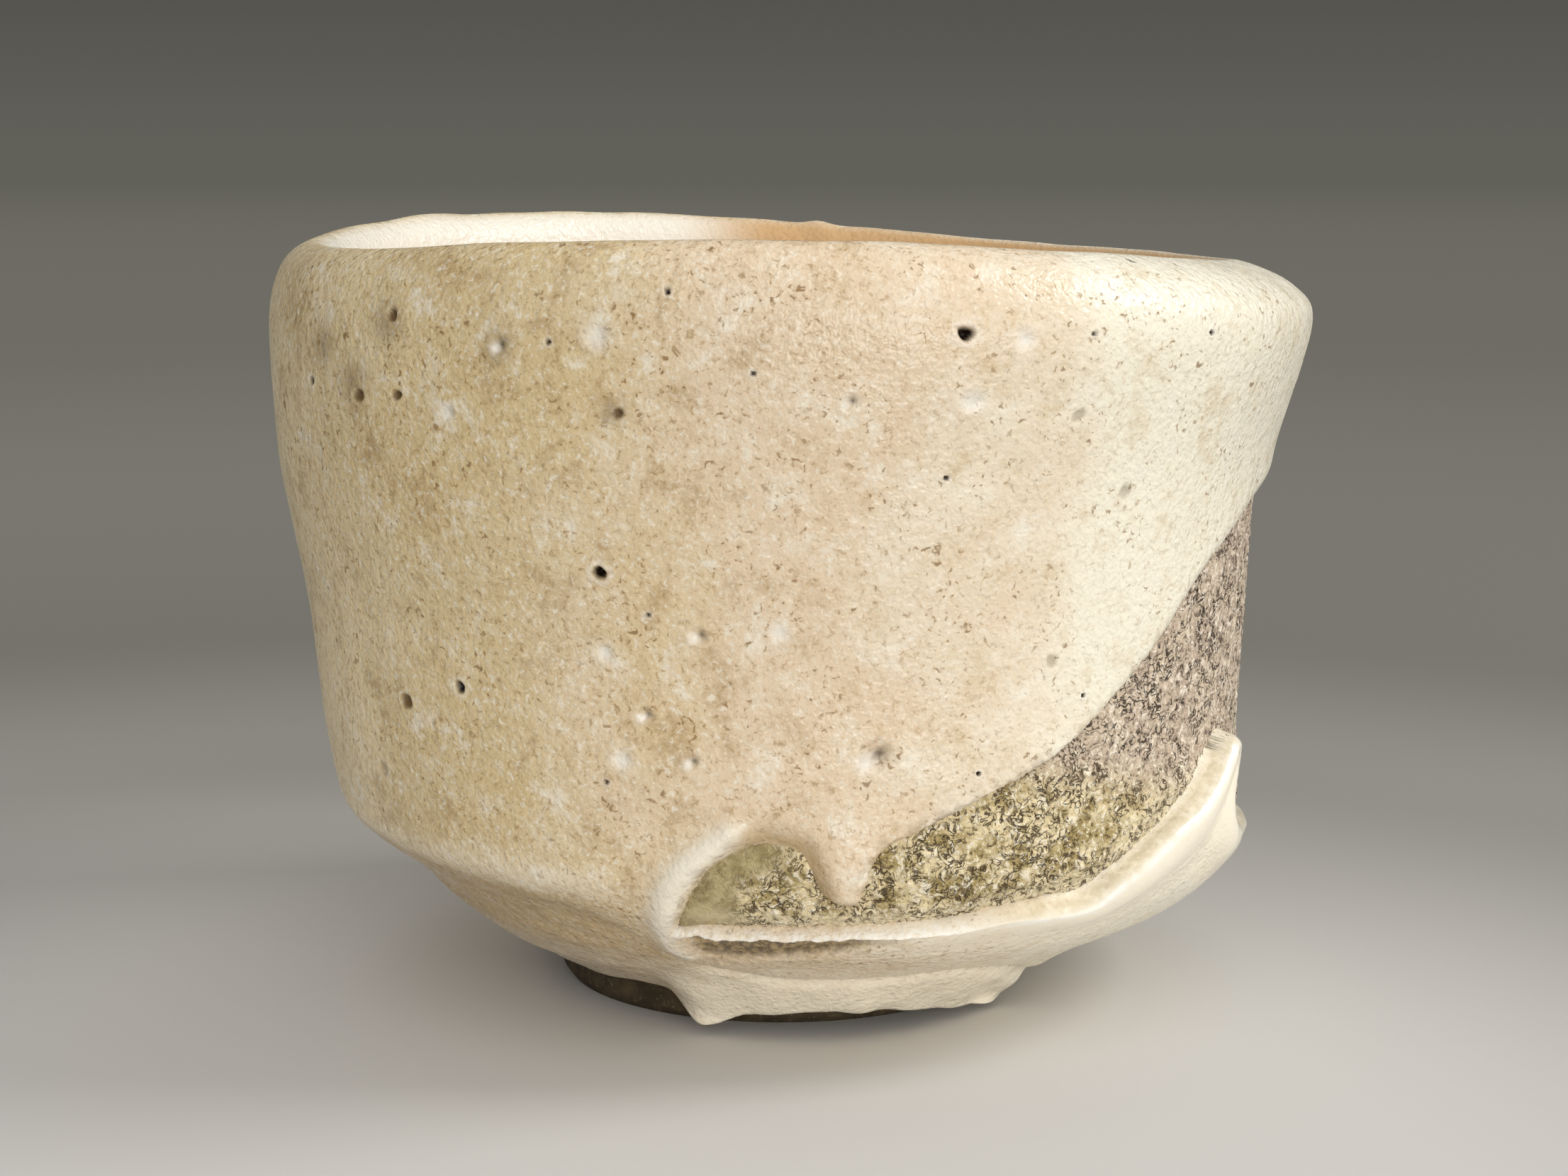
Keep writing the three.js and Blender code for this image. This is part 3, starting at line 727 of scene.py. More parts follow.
def strip_piece(name, glaze):
    """The thick edge along the window's foot, in a fine mesh that follows it."""
    line, outwards = strip_line(*STRIPS[name])
    out = np.array(STRIP_OUT)
    width = len(out)
    spots = line[:, None, :] + out[None, :, None] * outwards[:, None, :]
    angle = (spots[:, :, 0] / PER_DEGREE).ravel()
    length = spots[:, :, 1].ravel()
    reach = np.tile(out, len(line))
    rise, marks = coat_shape(angle, length, reach, np.abs(reach))
    line_angle = np.repeat(line[:, 0] / PER_DEGREE, width)
    dip = np.maximum(1 - strip_share(line_angle, 0), ease(reach / out[-1], 0.86, 1))
    lean = STRIP_OVERHANG * plateau(line_angle, 32, 40, 47, 54)
    lean = lean * bell(np.maximum(reach, 0), 1.8) * np.clip(rise / 3, 0, 1)
    sideways = np.repeat(outwards, width, axis=0)
    angle = angle - lean * sideways[:, 0] / PER_DEGREE
    length = length - lean * sideways[:, 1]
    corner = (np.arange(len(line) - 1)[:, None] * width + np.arange(width - 1)[None, :]).ravel()
    faces = np.stack([corner, corner + 1, corner + width + 1, corner + width], 1).tolist()
    normals = normals_of(formed(angle, *outside.at(length, rise - COAT)), faces)
    points = formed(angle, *outside.at(length, rise - COAT + STRIP_LIFT - STRIP_DIP * dip))
    marks["back"] = coat_back(angle, length, rise)
    mesh = thickened(points, faces, marks, normals)
    placed_piece(name + "_surface", name, "thick_glaze", glaze, *mesh)


def coat_owners(angle, length):
    """The name of the piece of the coat at each place."""
    owner = np.full(len(angle), "outer_glaze", dtype=object)
    height = outside.at(length, 0.0)[1]
    on_tongue = np.abs(angle - TONGUE_PIECE_ANGLE) < TONGUE_PIECE_REACH
    on_tongue &= (height < TONGUE_PIECE_TOP) & (height > TONGUE_PIECE_FOOT)
    owner[on_tongue] = "glaze_tongue"
    for name, drip in DRIPS.items():
        across = (angle - drip[0]) * FOOT_PER_DEGREE / drip[2]
        along = (length - length_at(drip[1])) / drip[3]
        owner[np.hypot(across, along) < DRIP_PIECE_REACH] = name
    return owner


def coat_pieces(glaze):
    """The coat of glaze in one net, cut into its pieces, with room left for the strips."""
    refinements = [(near_edge, 1), (near_foot, 1), (near_roll_end, 2), (near_far_edge, 1), (near_pits, 3)]
    angle, length, faces = net_of(COAT_ANGLES, COAT_LENGTHS, refinements)
    angle, length = pull_to_edge(angle, length)
    depth = window_depth(angle, length)
    to_foot = distance_to(foot_line, angle, length)
    rise, marks = coat_shape(angle, length, depth, to_foot)
    reach = to_foot / STRIP_OUT[-1]
    rise = rise - STRIP_SINK * strip_share(angle, 2) * (1 - ease(reach, 0.72, 0.86))
    points = formed(angle, *outside.at(length, rise - COAT))
    points[:, 2] = np.maximum(points[:, 2], 0)
    shown = (depth > -0.75) & (length < hem_length(angle) + 0.9)
    faces = [face for face in faces if shown[face].any()]
    marks["back"] = coat_back(angle, length, rise)
    marks["angle"] = angle
    marks["length"] = length
    points, faces, marks = joined(points, faces, marks)
    normals = normals_of(points, faces)
    angle, length = marks.pop("angle"), marks.pop("length")
    middle_angle = np.array([angle[face].mean() if np.ptp(angle[face]) < 90 else 180 for face in faces])
    middle_length = np.array([length[face].mean() for face in faces])
    owner = coat_owners(middle_angle, middle_length)
    for name, slot in COAT_SLOTS.items():
        mesh = thickened(*part_of(points, faces, marks, normals, owner == name))
        placed_piece(name + "_surface", name, slot, glaze, *mesh)


# The clay, with its bare window

WINDOW_MARGIN = 1.6
CLAY_STEP = 3.0
CLAY_CUTS = 8
CLAY_SWELL = 0.12
CLAY_FLAKES = 0.34
CLAY_SINK = 0.25


def clay_profile():
    """The clay's own outline: under the floor, up the outside, over the lip and down the inside."""
    length = np.linspace(outside.total, 0, 480)
    radius, height = outside.at(length, -COAT)
    keep = height > FOOT_HEIGHT
    skin = np.stack([radius, height], 1)[keep]
    return skin, length[keep], spline(inner_levels(), 30)


def inner_levels():
    """Points of the clay's inside from under the lap to the middle of the floor."""
    wall = [(row[0] - WALL_INSIDE, row[1]) for row in (SHOULDER, UPPER, WAIST, LOWER)]
    return [LINING_TOP] + wall + [LINING_CORNER, FLOOR_EDGE, FLOOR_CENTRE]


def in_window(angle, length):
    """True in the window and a little under the glaze round it."""
    on_wall = (length > 0) & (length < outside.total)
    return on_wall & (window_depth(angle, length) < WINDOW_MARGIN)


def clay_piece():
    """The clay, rough where it is bare. Lengths below 0 are inside, and past the total under the floor."""
    skin, skin_lengths, inner = clay_profile()
    inner_lengths = -lengths_along(inner)
    foot_radius = skin[0][0]
    under = outside.total + np.array([foot_radius, foot_radius * 0.5, 2.0])
    wall = np.arange(skin_lengths[0], skin_lengths[-1], -CLAY_STEP)
    lengths = np.sort(np.concatenate([under, wall, [0.0], np.linspace(-2, inner_lengths[-1], 40)]))
    angle, length, faces = net_of(np.linspace(-180, 180, 121), lengths, [(in_window, CLAY_CUTS)])
    order = np.argsort(skin_lengths)
    radius = np.interp(length, skin_lengths[order], skin[order, 0])
    height = np.interp(length, skin_lengths[order], skin[order, 1])
    normal_r, normal_z = [np.interp(length, outside.lengths, column) for column in outside.normals.T]
    plain = formed(angle, radius, height)
    relief = 0.5 * cells(plain, 1.1, 2.0) + 0.5 * cells(plain, 0.7, 7.0)
    rough = CLAY_SWELL * grain(plain, 6.0, 4.0) + CLAY_FLAKES * (0.5 - relief)
    covered = ease(ash_depth(angle, length), 1.0, 4.0)
    lift = in_window(angle, length) * ((1 - covered) * rough - CLAY_SINK * covered)
    radius = radius + lift * normal_r
    height = height + lift * normal_z
    inside_wall = length < 0
    radius = np.where(inside_wall, np.interp(-length, -inner_lengths, inner[:, 0]), radius)
    height = np.where(inside_wall, np.interp(-length, -inner_lengths, inner[:, 1]), height)
    below = length > outside.total
    radius = np.where(below, np.maximum(foot_radius - (length - outside.total), 0), radius)
    height = np.where(below, FOOT_HEIGHT, height)
    mesh = joined(formed(angle, radius, height), faces, {"relief": relief})
    placed_piece("clay_surface", "clay_body", "bare_clay", clay_material(), *mesh)


# The ash crust

ASH_STEP = 1.0
ASH_ANGLES = np.arange(-15.5, 60, ASH_STEP)
ASH_LENGTHS = np.arange(length_at(39.0), length_at(14.0), ASH_STEP)
ASH_UNDER_GLAZE = 0.6
ASH_SWELL = 0.15
ASH_CRUMBS = 0.55
POOL_CALM = 0.45
POOL_FILLET = 0.6


def crust_depth(angle, length):
    """Distance inside the crust's edge in millimetres, negative outside it."""
    return np.minimum(ash_depth(angle, length), ASH_UNDER_GLAZE - window_depth(angle, length))


def near_crust(angle, length):
    return crust_depth(angle, length) > -1.2


def ash_piece():
    """The crust: crumbs, and a glassy pool under the arch at its left."""
    angle, length, faces = net_of(ASH_ANGLES, ASH_LENGTHS, [(near_crust, 3)])
    depth = crust_depth(angle, length)
    plain = formed(angle, *outside.at(length, np.full(len(angle), -COAT)))
    height = outside.at(length, 0.0)[1]
    to_glaze = distance_to(top_line, angle, length)
    under_arch = (1 - ease(to_glaze, 1.8, 4.6)) * (1 - ease(angle, -3, 2))
    lower_left = bell((angle + 10) * PER_DEGREE, 3.2) * bell(height - 17.5, 3.0)
    pool = np.clip(under_arch + lower_left, 0, 1)
    relief = 0.5 * cells(plain, 1.0, 11.0) + 0.5 * cells(plain, 0.65, 1.0)
    fillet = pool * (1 - ease(to_glaze, 0.0, 3.0)) * (1 - ease(angle, -10, -6))
    waves = ASH_SWELL * grain(plain, 4.0, 8.0) + (ASH_CRUMBS - POOL_CALM * pool) * (0.5 - relief)
    lift = CRUST * ease(depth, -0.3, 4.0) + waves * ease(to_glaze, 0.0, 1.3) + POOL_FILLET * fillet
    lift = np.where(depth < 0, lift - 0.35 + 0.6 * depth, lift)
    points = formed(angle, *outside.at(length, lift - COAT))
    faces = [face for face in faces if (depth[face] > -0.8).any()]
    pale = bell((angle + 9.5) * PER_DEGREE, 3.0) * bell(height - 16.4, 1.3)
    fade = 1 - ease(distance_to(ash_line, angle, length), 0, 6)
    salty = 1 - ease(distance_to(foot_line, angle, length), 0.3, 4.0)
    marks = {"relief": relief, "pool": pool, "pale": pale, "fade": fade, "salty": salty}
    marks["back"] = coat_back(angle, length, lift)
    points, faces, marks = joined(points, faces, marks)
    mesh = part_of(points, faces, marks, normals_of(points, faces), np.ones(len(faces), bool))
    placed_piece("ash_surface", "ash_crust", "ash", ash_material(), *thickened(*mesh))


# The inner glaze

SPIRAL_STEP = 7.0
SPIRAL_DEPTH = 0.05
LINING_WAVES = 0.25


def lining_piece():
    """The lining, with the faint spiral that throwing leaves."""
    curve = Profile(spline([LINING_HEAD] + inner_levels(), 30), -1)
    angle, length, faces = net_of(np.linspace(-180, 180, 181), np.linspace(0.0, curve.total, 72), [])
    plain = formed(angle, *curve.at(length, 0.0))
    turns = np.sin(2 * np.pi * length / SPIRAL_STEP + np.radians(angle))
    lift = LINING - LINING_WAVES * (0.5 + 0.5 * grain(plain, 14.0, 2.0)) - SPIRAL_DEPTH * turns
    lift = lift * ease(curve.total - length, -6, 6)
    points = formed(angle, *curve.at(length, lift))
    faces = [face[::-1] for face in faces]
    back = formed(angle, *curve.at(length, -SHELL))
    points, faces, marks = joined(points, faces, {"back": back})
    mesh = thickened(points, faces, marks, normals_of(points, faces))
    placed_piece("inner_glaze_surface", "inner_glaze", "inner_glaze", lining_material(), *mesh)


# The foot ring

FOOT_ROUGH = 0.22
FOOT_STEP = 0.6


def foot_piece():
    """The bare ring under the bowl, spreading where it meets the underside."""
    top = FOOT_HEIGHT - 0.3
    corners = np.array([
        (FOOT_BORE, top), (FOOT_BORE, FOOT_CHAMFER), (FOOT_BORE + FOOT_CHAMFER, 0.0),
        (FOOT_RADIUS - FOOT_CHAMFER, 0.0), (FOOT_RADIUS, FOOT_CHAMFER), (FOOT_RADIUS + 0.2, 2.6),
        (FOOT_RADIUS + 2.6, 4.4), (FOOT_RADIUS + 5.6, top), (FOOT_BORE, top),
    ])
    corners_at = lengths_along(corners)
    fine = np.unique(np.concatenate([corners_at, np.arange(0, corners_at[-1], FOOT_STEP)]))
    angle, length, faces = net_of(np.linspace(-180, 180, 301), fine, [])
    radius, height = [np.interp(length, corners_at, column) for column in corners.T]
    plain = formed(angle, radius, height)
    rough = 0.5 + 0.5 * grain(plain, 1.6, 6.0)
    side = ease(height, 0.1, 1.0) * (height < top - 0.01)
    radius = radius - FOOT_ROUGH * rough * side * np.sign(radius - FOOT_MIDDLE)
    points = formed(angle, radius, height)
    points[:, 2] = np.maximum(points[:, 2], 0)
    mesh = joined(points, faces, {"relief": rough})
    placed_piece("foot_surface", "foot_ring", "foot_clay", foot_material(), *mesh)


# Materials

def linear(red, green, blue):
    """A colour written as 0 to 255 in sRGB, as Blender's linear values."""
    parts = [channel / 255 for channel in (red, green, blue)]
    return [p / 12.92 if p <= 0.04045 else ((p + 0.055) / 1.055) ** 2.4 for p in parts] + [1.0]


class Nodes:
    """Short names for building the nodes of a material or of the world."""

    def __init__(self, owner):
        owner.use_nodes = True
        self.owner = owner
        self.tree = owner.node_tree
        self.places = self.add("TexCoord").outputs

    def add(self, kind, **values):
        """A new node, with each input named by its words joined with underscores."""
        node = self.tree.nodes.new("ShaderNode" + kind)
        for name, value in values.items():
            self.link(value, node.inputs[name.replace("_", " ")])
        return node

    def link(self, source, socket):
        if isinstance(source, bpy.types.NodeSocket):
            self.tree.links.new(source, socket)
        else:
            socket.default_value = source

    def math(self, operation, first, second=0.0):
        node = self.add("Math")
        node.operation = operation
        self.link(first, node.inputs[0])
        self.link(second, node.inputs[1])
        return node.outputs[0]

    def times(self, first, second):
        return self.math("MULTIPLY", first, second)

    def mark(self, name):
        node = self.add("Attribute")
        node.attribute_name = name
        return node.outputs["Fac"]

    def noise(self, size, detail=3.0, roughness=0.55, twist=0.0):
        node = self.add("TexNoise", Vector=self.places["Object"], Scale=1 / (size * MM), Detail=detail,
                        Roughness=roughness, Distortion=twist)
        return node.outputs["Fac"]

    def span(self, value, low, high, to_low=0.0, to_high=1.0):
        node = self.add("MapRange", Value=value, From_Min=low, From_Max=high, To_Min=to_low, To_Max=to_high)
        node.interpolation_type = "SMOOTHSTEP"
        return node.outputs["Result"]

    def mix(self, share, first, second):
        node = self.add("Mix")
        node.data_type = "RGBA"
        self.link(share, node.inputs[0])
        self.link(first, node.inputs[6])
        self.link(second, node.inputs[7])
        return node.outputs[2]

    def axis(self, name, place="Object"):
        return self.add("SeparateXYZ", Vector=self.places[place]).outputs[name]

    def bump(self, height, distance, strength=1.0, under=None):
        node = self.add("Bump", Strength=strength, Distance=distance * MM, Height=height)
        if under is not None:
            self.link(under, node.inputs["Normal"])
        return node.outputs["Normal"]

    def backdrop_rays(self):
        """1 for the rays that show the backdrop: the camera's own, reflected ones and ones through glass."""
        path = self.add("LightPath").outputs
        rays = self.math("MAXIMUM", path["Is Camera Ray"], path["Is Glossy Ray"])
        return self.math("MAXIMUM", rays, path["Is Transmission Ray"])

    def choose(self, share, usual, shown, output):
        """Links the usual shader to an output, and the shown one in its place by a share."""
        chooser = self.add("MixShader", Fac=share)
        self.link(usual.outputs[0], chooser.inputs[1])
        self.link(shown.outputs[0], chooser.inputs[2])
        self.link(chooser.outputs[0], self.tree.nodes[output].inputs["Surface"])

    def finish(self, colour, roughness, normal, specular=0.5):
        sockets = self.tree.nodes["Principled BSDF"].inputs
        self.link(colour, sockets["Base Color"])
        self.link(roughness, sockets["Roughness"])
        self.link(normal, sockets["Normal"])
        sockets["Specular IOR Level"].default_value = specular
        return self.owner


def material_nodes(name):
    return Nodes(bpy.data.materials.new(name))


# The far left's paler sand is painted light, lifting the side that the lamps leave darker
SAND_AND_PAINTED_LIGHT = linear(240, 219, 175)
TAN = linear(221, 198, 152)
BEIGE = linear(231, 209, 179)
CREAM = linear(246, 239, 219)
OCHRE = linear(172, 140, 94)
STRAW = linear(198, 168, 112)
SPECK = linear(140, 108, 66)
MILK = linear(246, 239, 222)
# Ivory of the thick glaze low down, made paler as painted light
IVORY_AND_PAINTED_LIGHT = linear(252, 241, 218)
ARCH_BROWN = linear(196, 170, 130)
FACE_TAN = linear(206, 190, 152)
# Brown of the bare groove under the ledge, dark also as painted shade under the ledge
EARTH_AND_PAINTED_SHADE = (linear(84, 68, 42), linear(164, 141, 100))
# Inside the lip: white on the left and peach on the right, the darker right partly painted shade
LAP_HUE_AND_SHADE = (linear(244, 238, 224), linear(212, 174, 126))
BROWN = linear(116, 90, 56)
# Black of the pinholes, also used as painted shade on the shaded side of pits
PIT_BLACK_AND_SHADE = linear(32, 20, 13)
WHITE = linear(250, 246, 236)
CLAY = (linear(206, 184, 162), linear(220, 200, 174))
CLAY_GLINT = linear(252, 238, 218)
# Dark grains of the clay, dark also as painted shade in its crevices
CLAY_DARK_AND_SHADE = linear(56, 42, 30)
OLIVE = (linear(182, 160, 104), linear(246, 226, 180))
ASH_FADE = linear(210, 189, 167)
ASH_SALT = linear(246, 232, 200)
ASH_GLINT = linear(252, 240, 212)
# Dark grains of the ash, dark also as painted shade in its crevices
ASH_DARK_AND_SHADE = linear(84, 66, 40)
ASH_GLASS = (linear(136, 120, 78), linear(182, 166, 120))
ASH_PALE = linear(222, 208, 166)
# The lining from white to peach towards the right, the darker right partly painted shade
LINING_HUE_AND_SHADE = (linear(242, 232, 214), linear(226, 198, 160))
# The foot's colours, darkened as painted shade under the bowl
FOOT_HUES_IN_PAINTED_SHADE = (linear(66, 55, 38), linear(92, 78, 56))
FOOT_GRAIN_IN_PAINTED_SHADE = linear(140, 124, 94)
FOOT_HOLLOW_SHADE = linear(46, 36, 24)


def glaze_colour(n, across):
    """The milky glaze: tan on the left and cream on the right, clouded and mottled, and lighter at the far
    left as painted light.
    """
    cloud = n.noise(18, 3)
    drift = n.math("ADD", across, n.times(n.math("SUBTRACT", cloud, 0.5), 0.05))
    # Paler sand at the far left: painted light
    colour = n.mix(n.span(drift, -0.056, -0.036), SAND_AND_PAINTED_LIGHT, TAN)
    colour = n.mix(n.span(drift, -0.032, 0.0), colour, BEIGE)
    colour = n.mix(n.span(drift, 0.008, 0.034), colour, CREAM)
    depth = n.span(across, -0.02, 0.03, 1.0, 0.55)
    patch = n.noise(5.0, 8, 0.74, 0.3)
    tint = n.mix(n.span(across, -0.01, 0.02), OCHRE, STRAW)
    colour = n.mix(n.times(n.span(patch, 0.5, 0.68, 0.0, 0.6), depth), colour, tint)
    colour = n.mix(n.span(patch, 0.48, 0.32, 0.0, 0.75), colour, MILK)
    mottle = n.noise(0.7, 4, 0.7, 0.6)
    colour = n.mix(n.times(n.span(mottle, 0.54, 0.66, 0.0, 0.65), depth), colour, OCHRE)
    colour = n.mix(n.times(n.span(mottle, 0.46, 0.34, 0.0, 0.7), depth), colour, MILK)
    crowd = n.span(n.noise(6, 3), 0.42, 0.6)
    specks = n.times(n.span(n.noise(0.7, 2, 0.5, 0.8), 0.63, 0.69), crowd)
    return n.mix(n.times(specks, 0.7), colour, SPECK)


def clouded(n, colour, mark, clouds, shares, tint):
    """The colour tinted in clouds where a mark is."""
    return n.mix(n.times(n.mark(mark), n.span(n.noise(*clouds), *shares)), colour, tint)


def glaze_material():
    n = material_nodes("milky_glaze")
    across = n.axis("X")
    colour = glaze_colour(n, across)
    colour = n.mix(n.times(n.mark("milk"), 0.85), colour, MILK)
    # Skirt: thick white glaze, and painted light where the surface faces down
    colour = clouded(n, colour, "skirt", (2.6, 4, 0.6), (0.3, 0.6, 0.5, 0.95), IVORY_AND_PAINTED_LIGHT)
    colour = clouded(n, colour, "thin", (1.2, 3), (0.42, 0.62, 0.0, 0.6), BROWN)
    colour = clouded(n, colour, "arch", (1.0, 4, 0.7), (0.3, 0.6, 0.6, 0.95), ARCH_BROWN)
    colour = clouded(n, colour, "face", (1.4, 4, 0.7), (0.35, 0.6, 0.15, 0.6), FACE_TAN)
    # In the groove: the brown of thin glaze and painted shade under the overhanging ledge
    earth_and_shade = n.mix(n.span(n.noise(0.8, 4, 0.7), 0.4, 0.6), *EARTH_AND_PAINTED_SHADE)
    colour = n.mix(n.times(n.mark("groove"), 0.9), colour, earth_and_shade)
    colour = clouded(n, colour, "crust", (0.7, 3, 0.7), (0.36, 0.56, 0.2, 0.9), WHITE)
    # A painted highlight along the roll's crest
    colour = clouded(n, colour, "crest", (1.6, 3), (0.35, 0.55, 0.45, 1.0), WHITE)
    colour = n.mix(n.times(n.mark("facet"), 0.35), colour, OCHRE)
    # Inside the lip: the glaze's peach and painted shade on the side facing away from the key lamp
    colour = n.mix(n.mark("lap"), colour, n.mix(n.span(across, -0.016, -0.002), *LAP_HUE_AND_SHADE))
    # Pit marks: rust, black pinholes and white pits, with painted shade and painted highlights on the pits'
    # sides
    for mark, pit_colour in (("rust_and_shade", BROWN), ("white_pit_and_highlight", WHITE), ("dark_pit_and_shade", PIT_BLACK_AND_SHADE)):
        colour = n.mix(n.mark(mark), colour, pit_colour)
    calm = n.span(n.mark("smooth"), 0.0, 1.0, 1.0, 0.15)
    normal = n.bump(n.times(n.noise(1.2, 2), calm), 0.25, 0.9)
    normal = n.bump(n.times(n.noise(0.55, 1), calm), 0.16, 0.9, normal)
    wet = n.span(calm, 0.15, 1.0, 0.5, 1.0)
    roughness = n.times(n.span(n.noise(2.2, 3), 0.3, 0.7, 0.2, 0.34), wet)
    return n.finish(colour, roughness, normal, 0.4)


def flaked(n, ground, pale, dark, size):
    """Colour and height of a coarse fired surface: flakes, painted glints, and dark grains and curled cracks
    darkened as painted shade.
    """
    flakes = n.noise(size, 3, 0.65, 1.2)
    chips = n.noise(size * 0.45, 3, 0.6, 0.6)
    rough = n.math("ADD", n.times(flakes, 0.7), n.times(chips, 0.3))
    # Lower where the mesh's relief has crevices, so these take the dark colour: painted shade
    rough = n.math("SUBTRACT", rough, n.times(n.math("SUBTRACT", n.mark("relief"), 0.45), 0.18))
    colour = n.mix(n.span(rough, 0.5, 0.58), ground, pale)
    colour = n.mix(n.span(rough, 0.44, 0.36, 0.0, 0.85), colour, dark)
    # Curled cracks, painted dark as shade
    curls = n.math("ABSOLUTE", n.math("SUBTRACT", n.noise(size * 1.2, 2, 0.6, 1.0), 0.5))
    shaded_cracks = n.times(n.span(curls, 0.045, 0.012), n.span(n.noise(size * 2.4, 2), 0.4, 0.54))
    colour = n.mix(n.times(shaded_cracks, 0.95), colour, dark)
    return colour, n.math("SUBTRACT", rough, n.times(shaded_cracks, 0.25))


def clay_material():
    n = material_nodes("bare_clay")
    ground = n.mix(n.span(n.noise(5, 3), 0.35, 0.65), *CLAY)
    colour, height = flaked(n, ground, CLAY_GLINT, CLAY_DARK_AND_SHADE, 1.05)
    roughness = n.span(n.noise(0.8, 2), 0.35, 0.65, 0.4, 0.7)
    return n.finish(colour, roughness, n.bump(height, 0.9), 0.4)


def ash_material():
    n = material_nodes("ash_crust")
    olive = n.mix(n.span(n.noise(2.8, 4), 0.4, 0.6), *OLIVE)
    ground = n.mix(n.mark("fade"), olive, ASH_FADE)
    ground = n.mix(n.times(n.mark("salty"), 0.7), ground, ASH_SALT)
    colour, height = flaked(n, ground, ASH_GLINT, ASH_DARK_AND_SHADE, 1.0)
    glass = n.mix(n.span(n.noise(2.2, 5, 0.7), 0.38, 0.62), *ASH_GLASS)
    colour = n.mix(n.times(n.mark("pool"), 0.9), colour, glass)
    colour = n.mix(n.times(n.mark("pale"), 0.8), colour, ASH_PALE)
    calm = n.span(n.mark("pool"), 0.0, 1.0, 1.0, 0.2)
    roughness = n.span(n.mark("pool"), 0.0, 0.8, 0.42, 0.2)
    return n.finish(colour, roughness, n.bump(n.times(height, calm), 0.9))


def lining_material():
    n = material_nodes("inner_glaze")
    cloud = n.math("ADD", n.axis("X"), n.times(n.noise(14, 3), 0.04))
    # Towards the right: the glaze's peach and painted shade on the side facing away from the key lamp
    colour = n.mix(n.span(cloud, -0.01, 0.04), *LINING_HUE_AND_SHADE)
    flecks = n.span(n.noise(0.9, 3), 0.6, 0.76)
    colour = n.mix(n.times(flecks, 0.3), colour, OCHRE)
    roughness = n.span(n.noise(3, 2), 0.3, 0.7, 0.14, 0.26)
    return n.finish(colour, roughness, n.bump(n.noise(2.4, 2), 0.25, 0.5))


def foot_material():
    n = material_nodes("foot_clay")
    grains = n.noise(0.5, 4, 0.65)
    colour = n.mix(n.span(n.noise(3, 3), 0.35, 0.65), *FOOT_HUES_IN_PAINTED_SHADE)
    colour = n.mix(n.span(grains, 0.55, 0.75), colour, FOOT_GRAIN_IN_PAINTED_SHADE)
    # Darker in the foot's hollows: painted shade
    colour = n.mix(n.span(n.mark("relief"), 0.5, 0.85, 0.0, 0.6), colour, FOOT_HOLLOW_SHADE)
    return n.finish(colour, 0.75, n.bump(grains, 0.3, 0.8), 0.3)


# The stage, lamps and camera

FLOOR_SIZE = 12.0
FLOOR_MIDDLE = (-0.02, -0.07, 0)
FLOOR_NEAR = linear(208, 206, 203)
SKY_LOW = linear(97, 96, 89)
SKY_HIGH = linear(84, 83, 78)
SKY_RISE = 0.05
# Rings of the floor in metres from its middle, and the colour that each ends in, as a painted fall of light
FLOOR_RINGS = [
    (0.07, 0.19, linear(150, 148, 142)), (0.19, 0.31, linear(124, 122, 114)),
    (0.31, 1.2, linear(110, 108, 100)), (1.2, 7.0, SKY_LOW),
]
# Where the floor comes to show its colour unlit, as a backdrop does, in metres from its middle
FLOOR_GLOW = (0.15, 0.6)
# Lamps in metres and watts: name, place, size and power
LAMPS = [
    ("key", (1.6, 0.1, 1.36), 0.8, 19.0), ("fill", (0.05, -0.8, 0.75), 1.0, 1.9),
    ("front", (0.45, -1.05, 0.06), 0.7, 8.4),
]
LAMP_TARGET = Vector((0, 0, 0.045))
LAMP_COLOUR = (1.0, 0.99, 0.97)
AMBIENT = 0.55


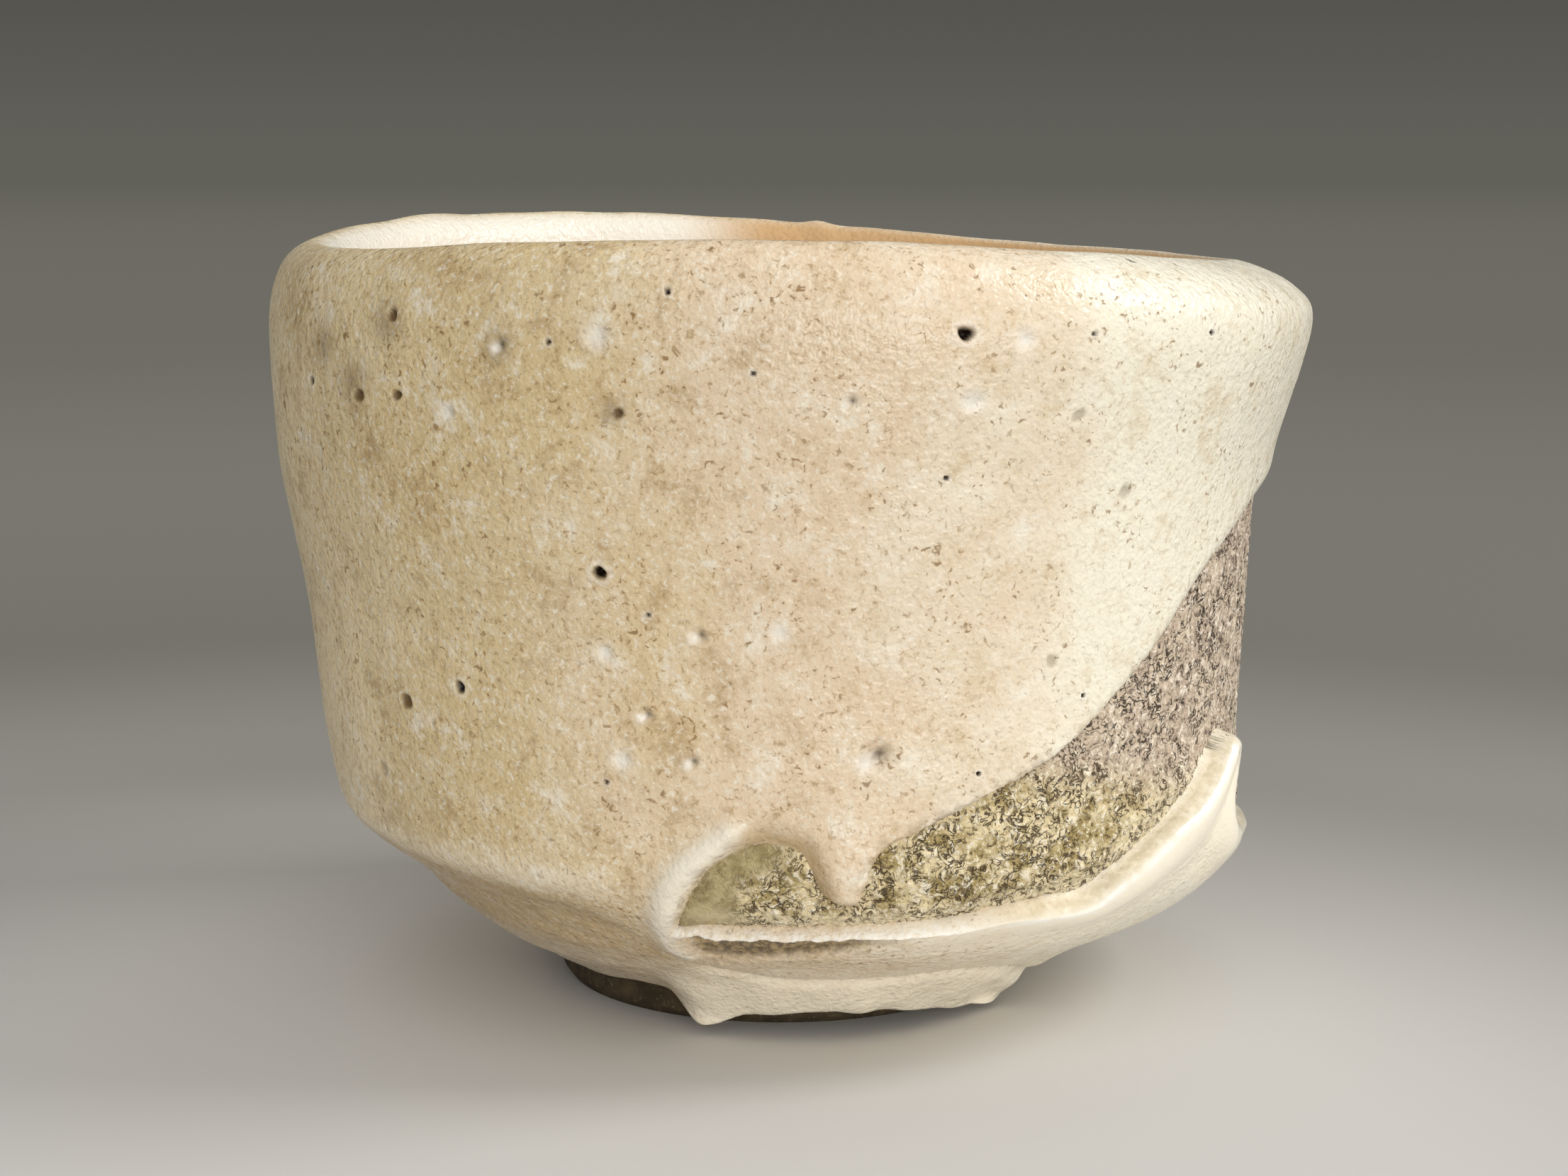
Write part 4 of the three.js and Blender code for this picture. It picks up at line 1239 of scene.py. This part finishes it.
def floor_material():
    """Pale near the bowl, and darker away from it until it meets the backdrop's grey: a painted pool of
    light.
    """
    n = material_nodes("floor")
    node = n.add("VectorMath")
    node.operation = "DISTANCE"
    n.link(n.places["Object"], node.inputs[0])
    n.link(FLOOR_MIDDLE, node.inputs[1])
    reach = node.outputs["Value"]
    colour = FLOOR_NEAR
    for start, end, ring in FLOOR_RINGS:
        colour = n.mix(n.span(reach, start, end), colour, ring)
    material = n.finish(colour, 0.9, n.bump(n.noise(1.5, 2), 0.05, 0.2), 0.1)
    seen = n.times(n.backdrop_rays(), n.span(reach, *FLOOR_GLOW))
    n.choose(seen, n.tree.nodes["Principled BSDF"], n.add("Emission", Color=colour), "Material Output")
    return material


def stage():
    net = bmesh.new()
    bmesh.ops.create_circle(net, cap_ends=True, radius=FLOOR_SIZE, segments=96)
    mesh = bpy.data.meshes.new("floor")
    net.to_mesh(mesh)
    net.free()
    floor = bpy.data.objects.new("floor", mesh)
    bpy.context.collection.objects.link(floor)
    mesh.materials.append(floor_material())


def lamps():
    for name, place, size, power in LAMPS:
        light = bpy.data.lights.new(name, "AREA")
        light.shape = "SQUARE"
        light.size = size
        light.energy = power
        light.color = LAMP_COLOUR
        obj = bpy.data.objects.new(name, light)
        obj.location = place
        obj.rotation_euler = (LAMP_TARGET - Vector(place)).to_track_quat("-Z", "Y").to_euler()
        bpy.context.collection.objects.link(obj)


def sky():
    """Even light from all round, and a grey backdrop where it is seen."""
    world = bpy.data.worlds.new("studio")
    bpy.context.scene.world = world
    n = Nodes(world)
    ambient = n.tree.nodes["Background"]
    ambient.inputs["Color"].default_value = (*LAMP_COLOUR, 1)
    ambient.inputs["Strength"].default_value = AMBIENT
    rise = n.add("MapRange", Value=n.axis("Z", "Generated"), From_Max=SKY_RISE).outputs["Result"]
    seen = n.add("Background", Color=n.mix(rise, SKY_LOW, SKY_HIGH))
    n.choose(n.backdrop_rays(), ambient, seen, "World Output")


def camera():
    data = bpy.data.cameras.new("camera")
    data.sensor_width = SENSOR_WIDTH
    data.lens = FOCAL_PIXELS / IMAGE_WIDTH * SENSOR_WIDTH
    obj = bpy.data.objects.new("camera", data)
    obj.location = [part * MM for part in CAMERA_PLACE]
    obj.rotation_euler = (math.radians(90 - CAMERA_PITCH), 0, 0)
    bpy.context.collection.objects.link(obj)
    bpy.context.scene.camera = obj


bpy.context.scene.view_settings.view_transform = "Standard"
camera()
lamps()
sky()
stage()
clay_piece()
foot_piece()
lining_piece()
milky_glaze = glaze_material()
coat_pieces(milky_glaze)
for strip in STRIPS:
    strip_piece(strip, milky_glaze)
ash_piece()
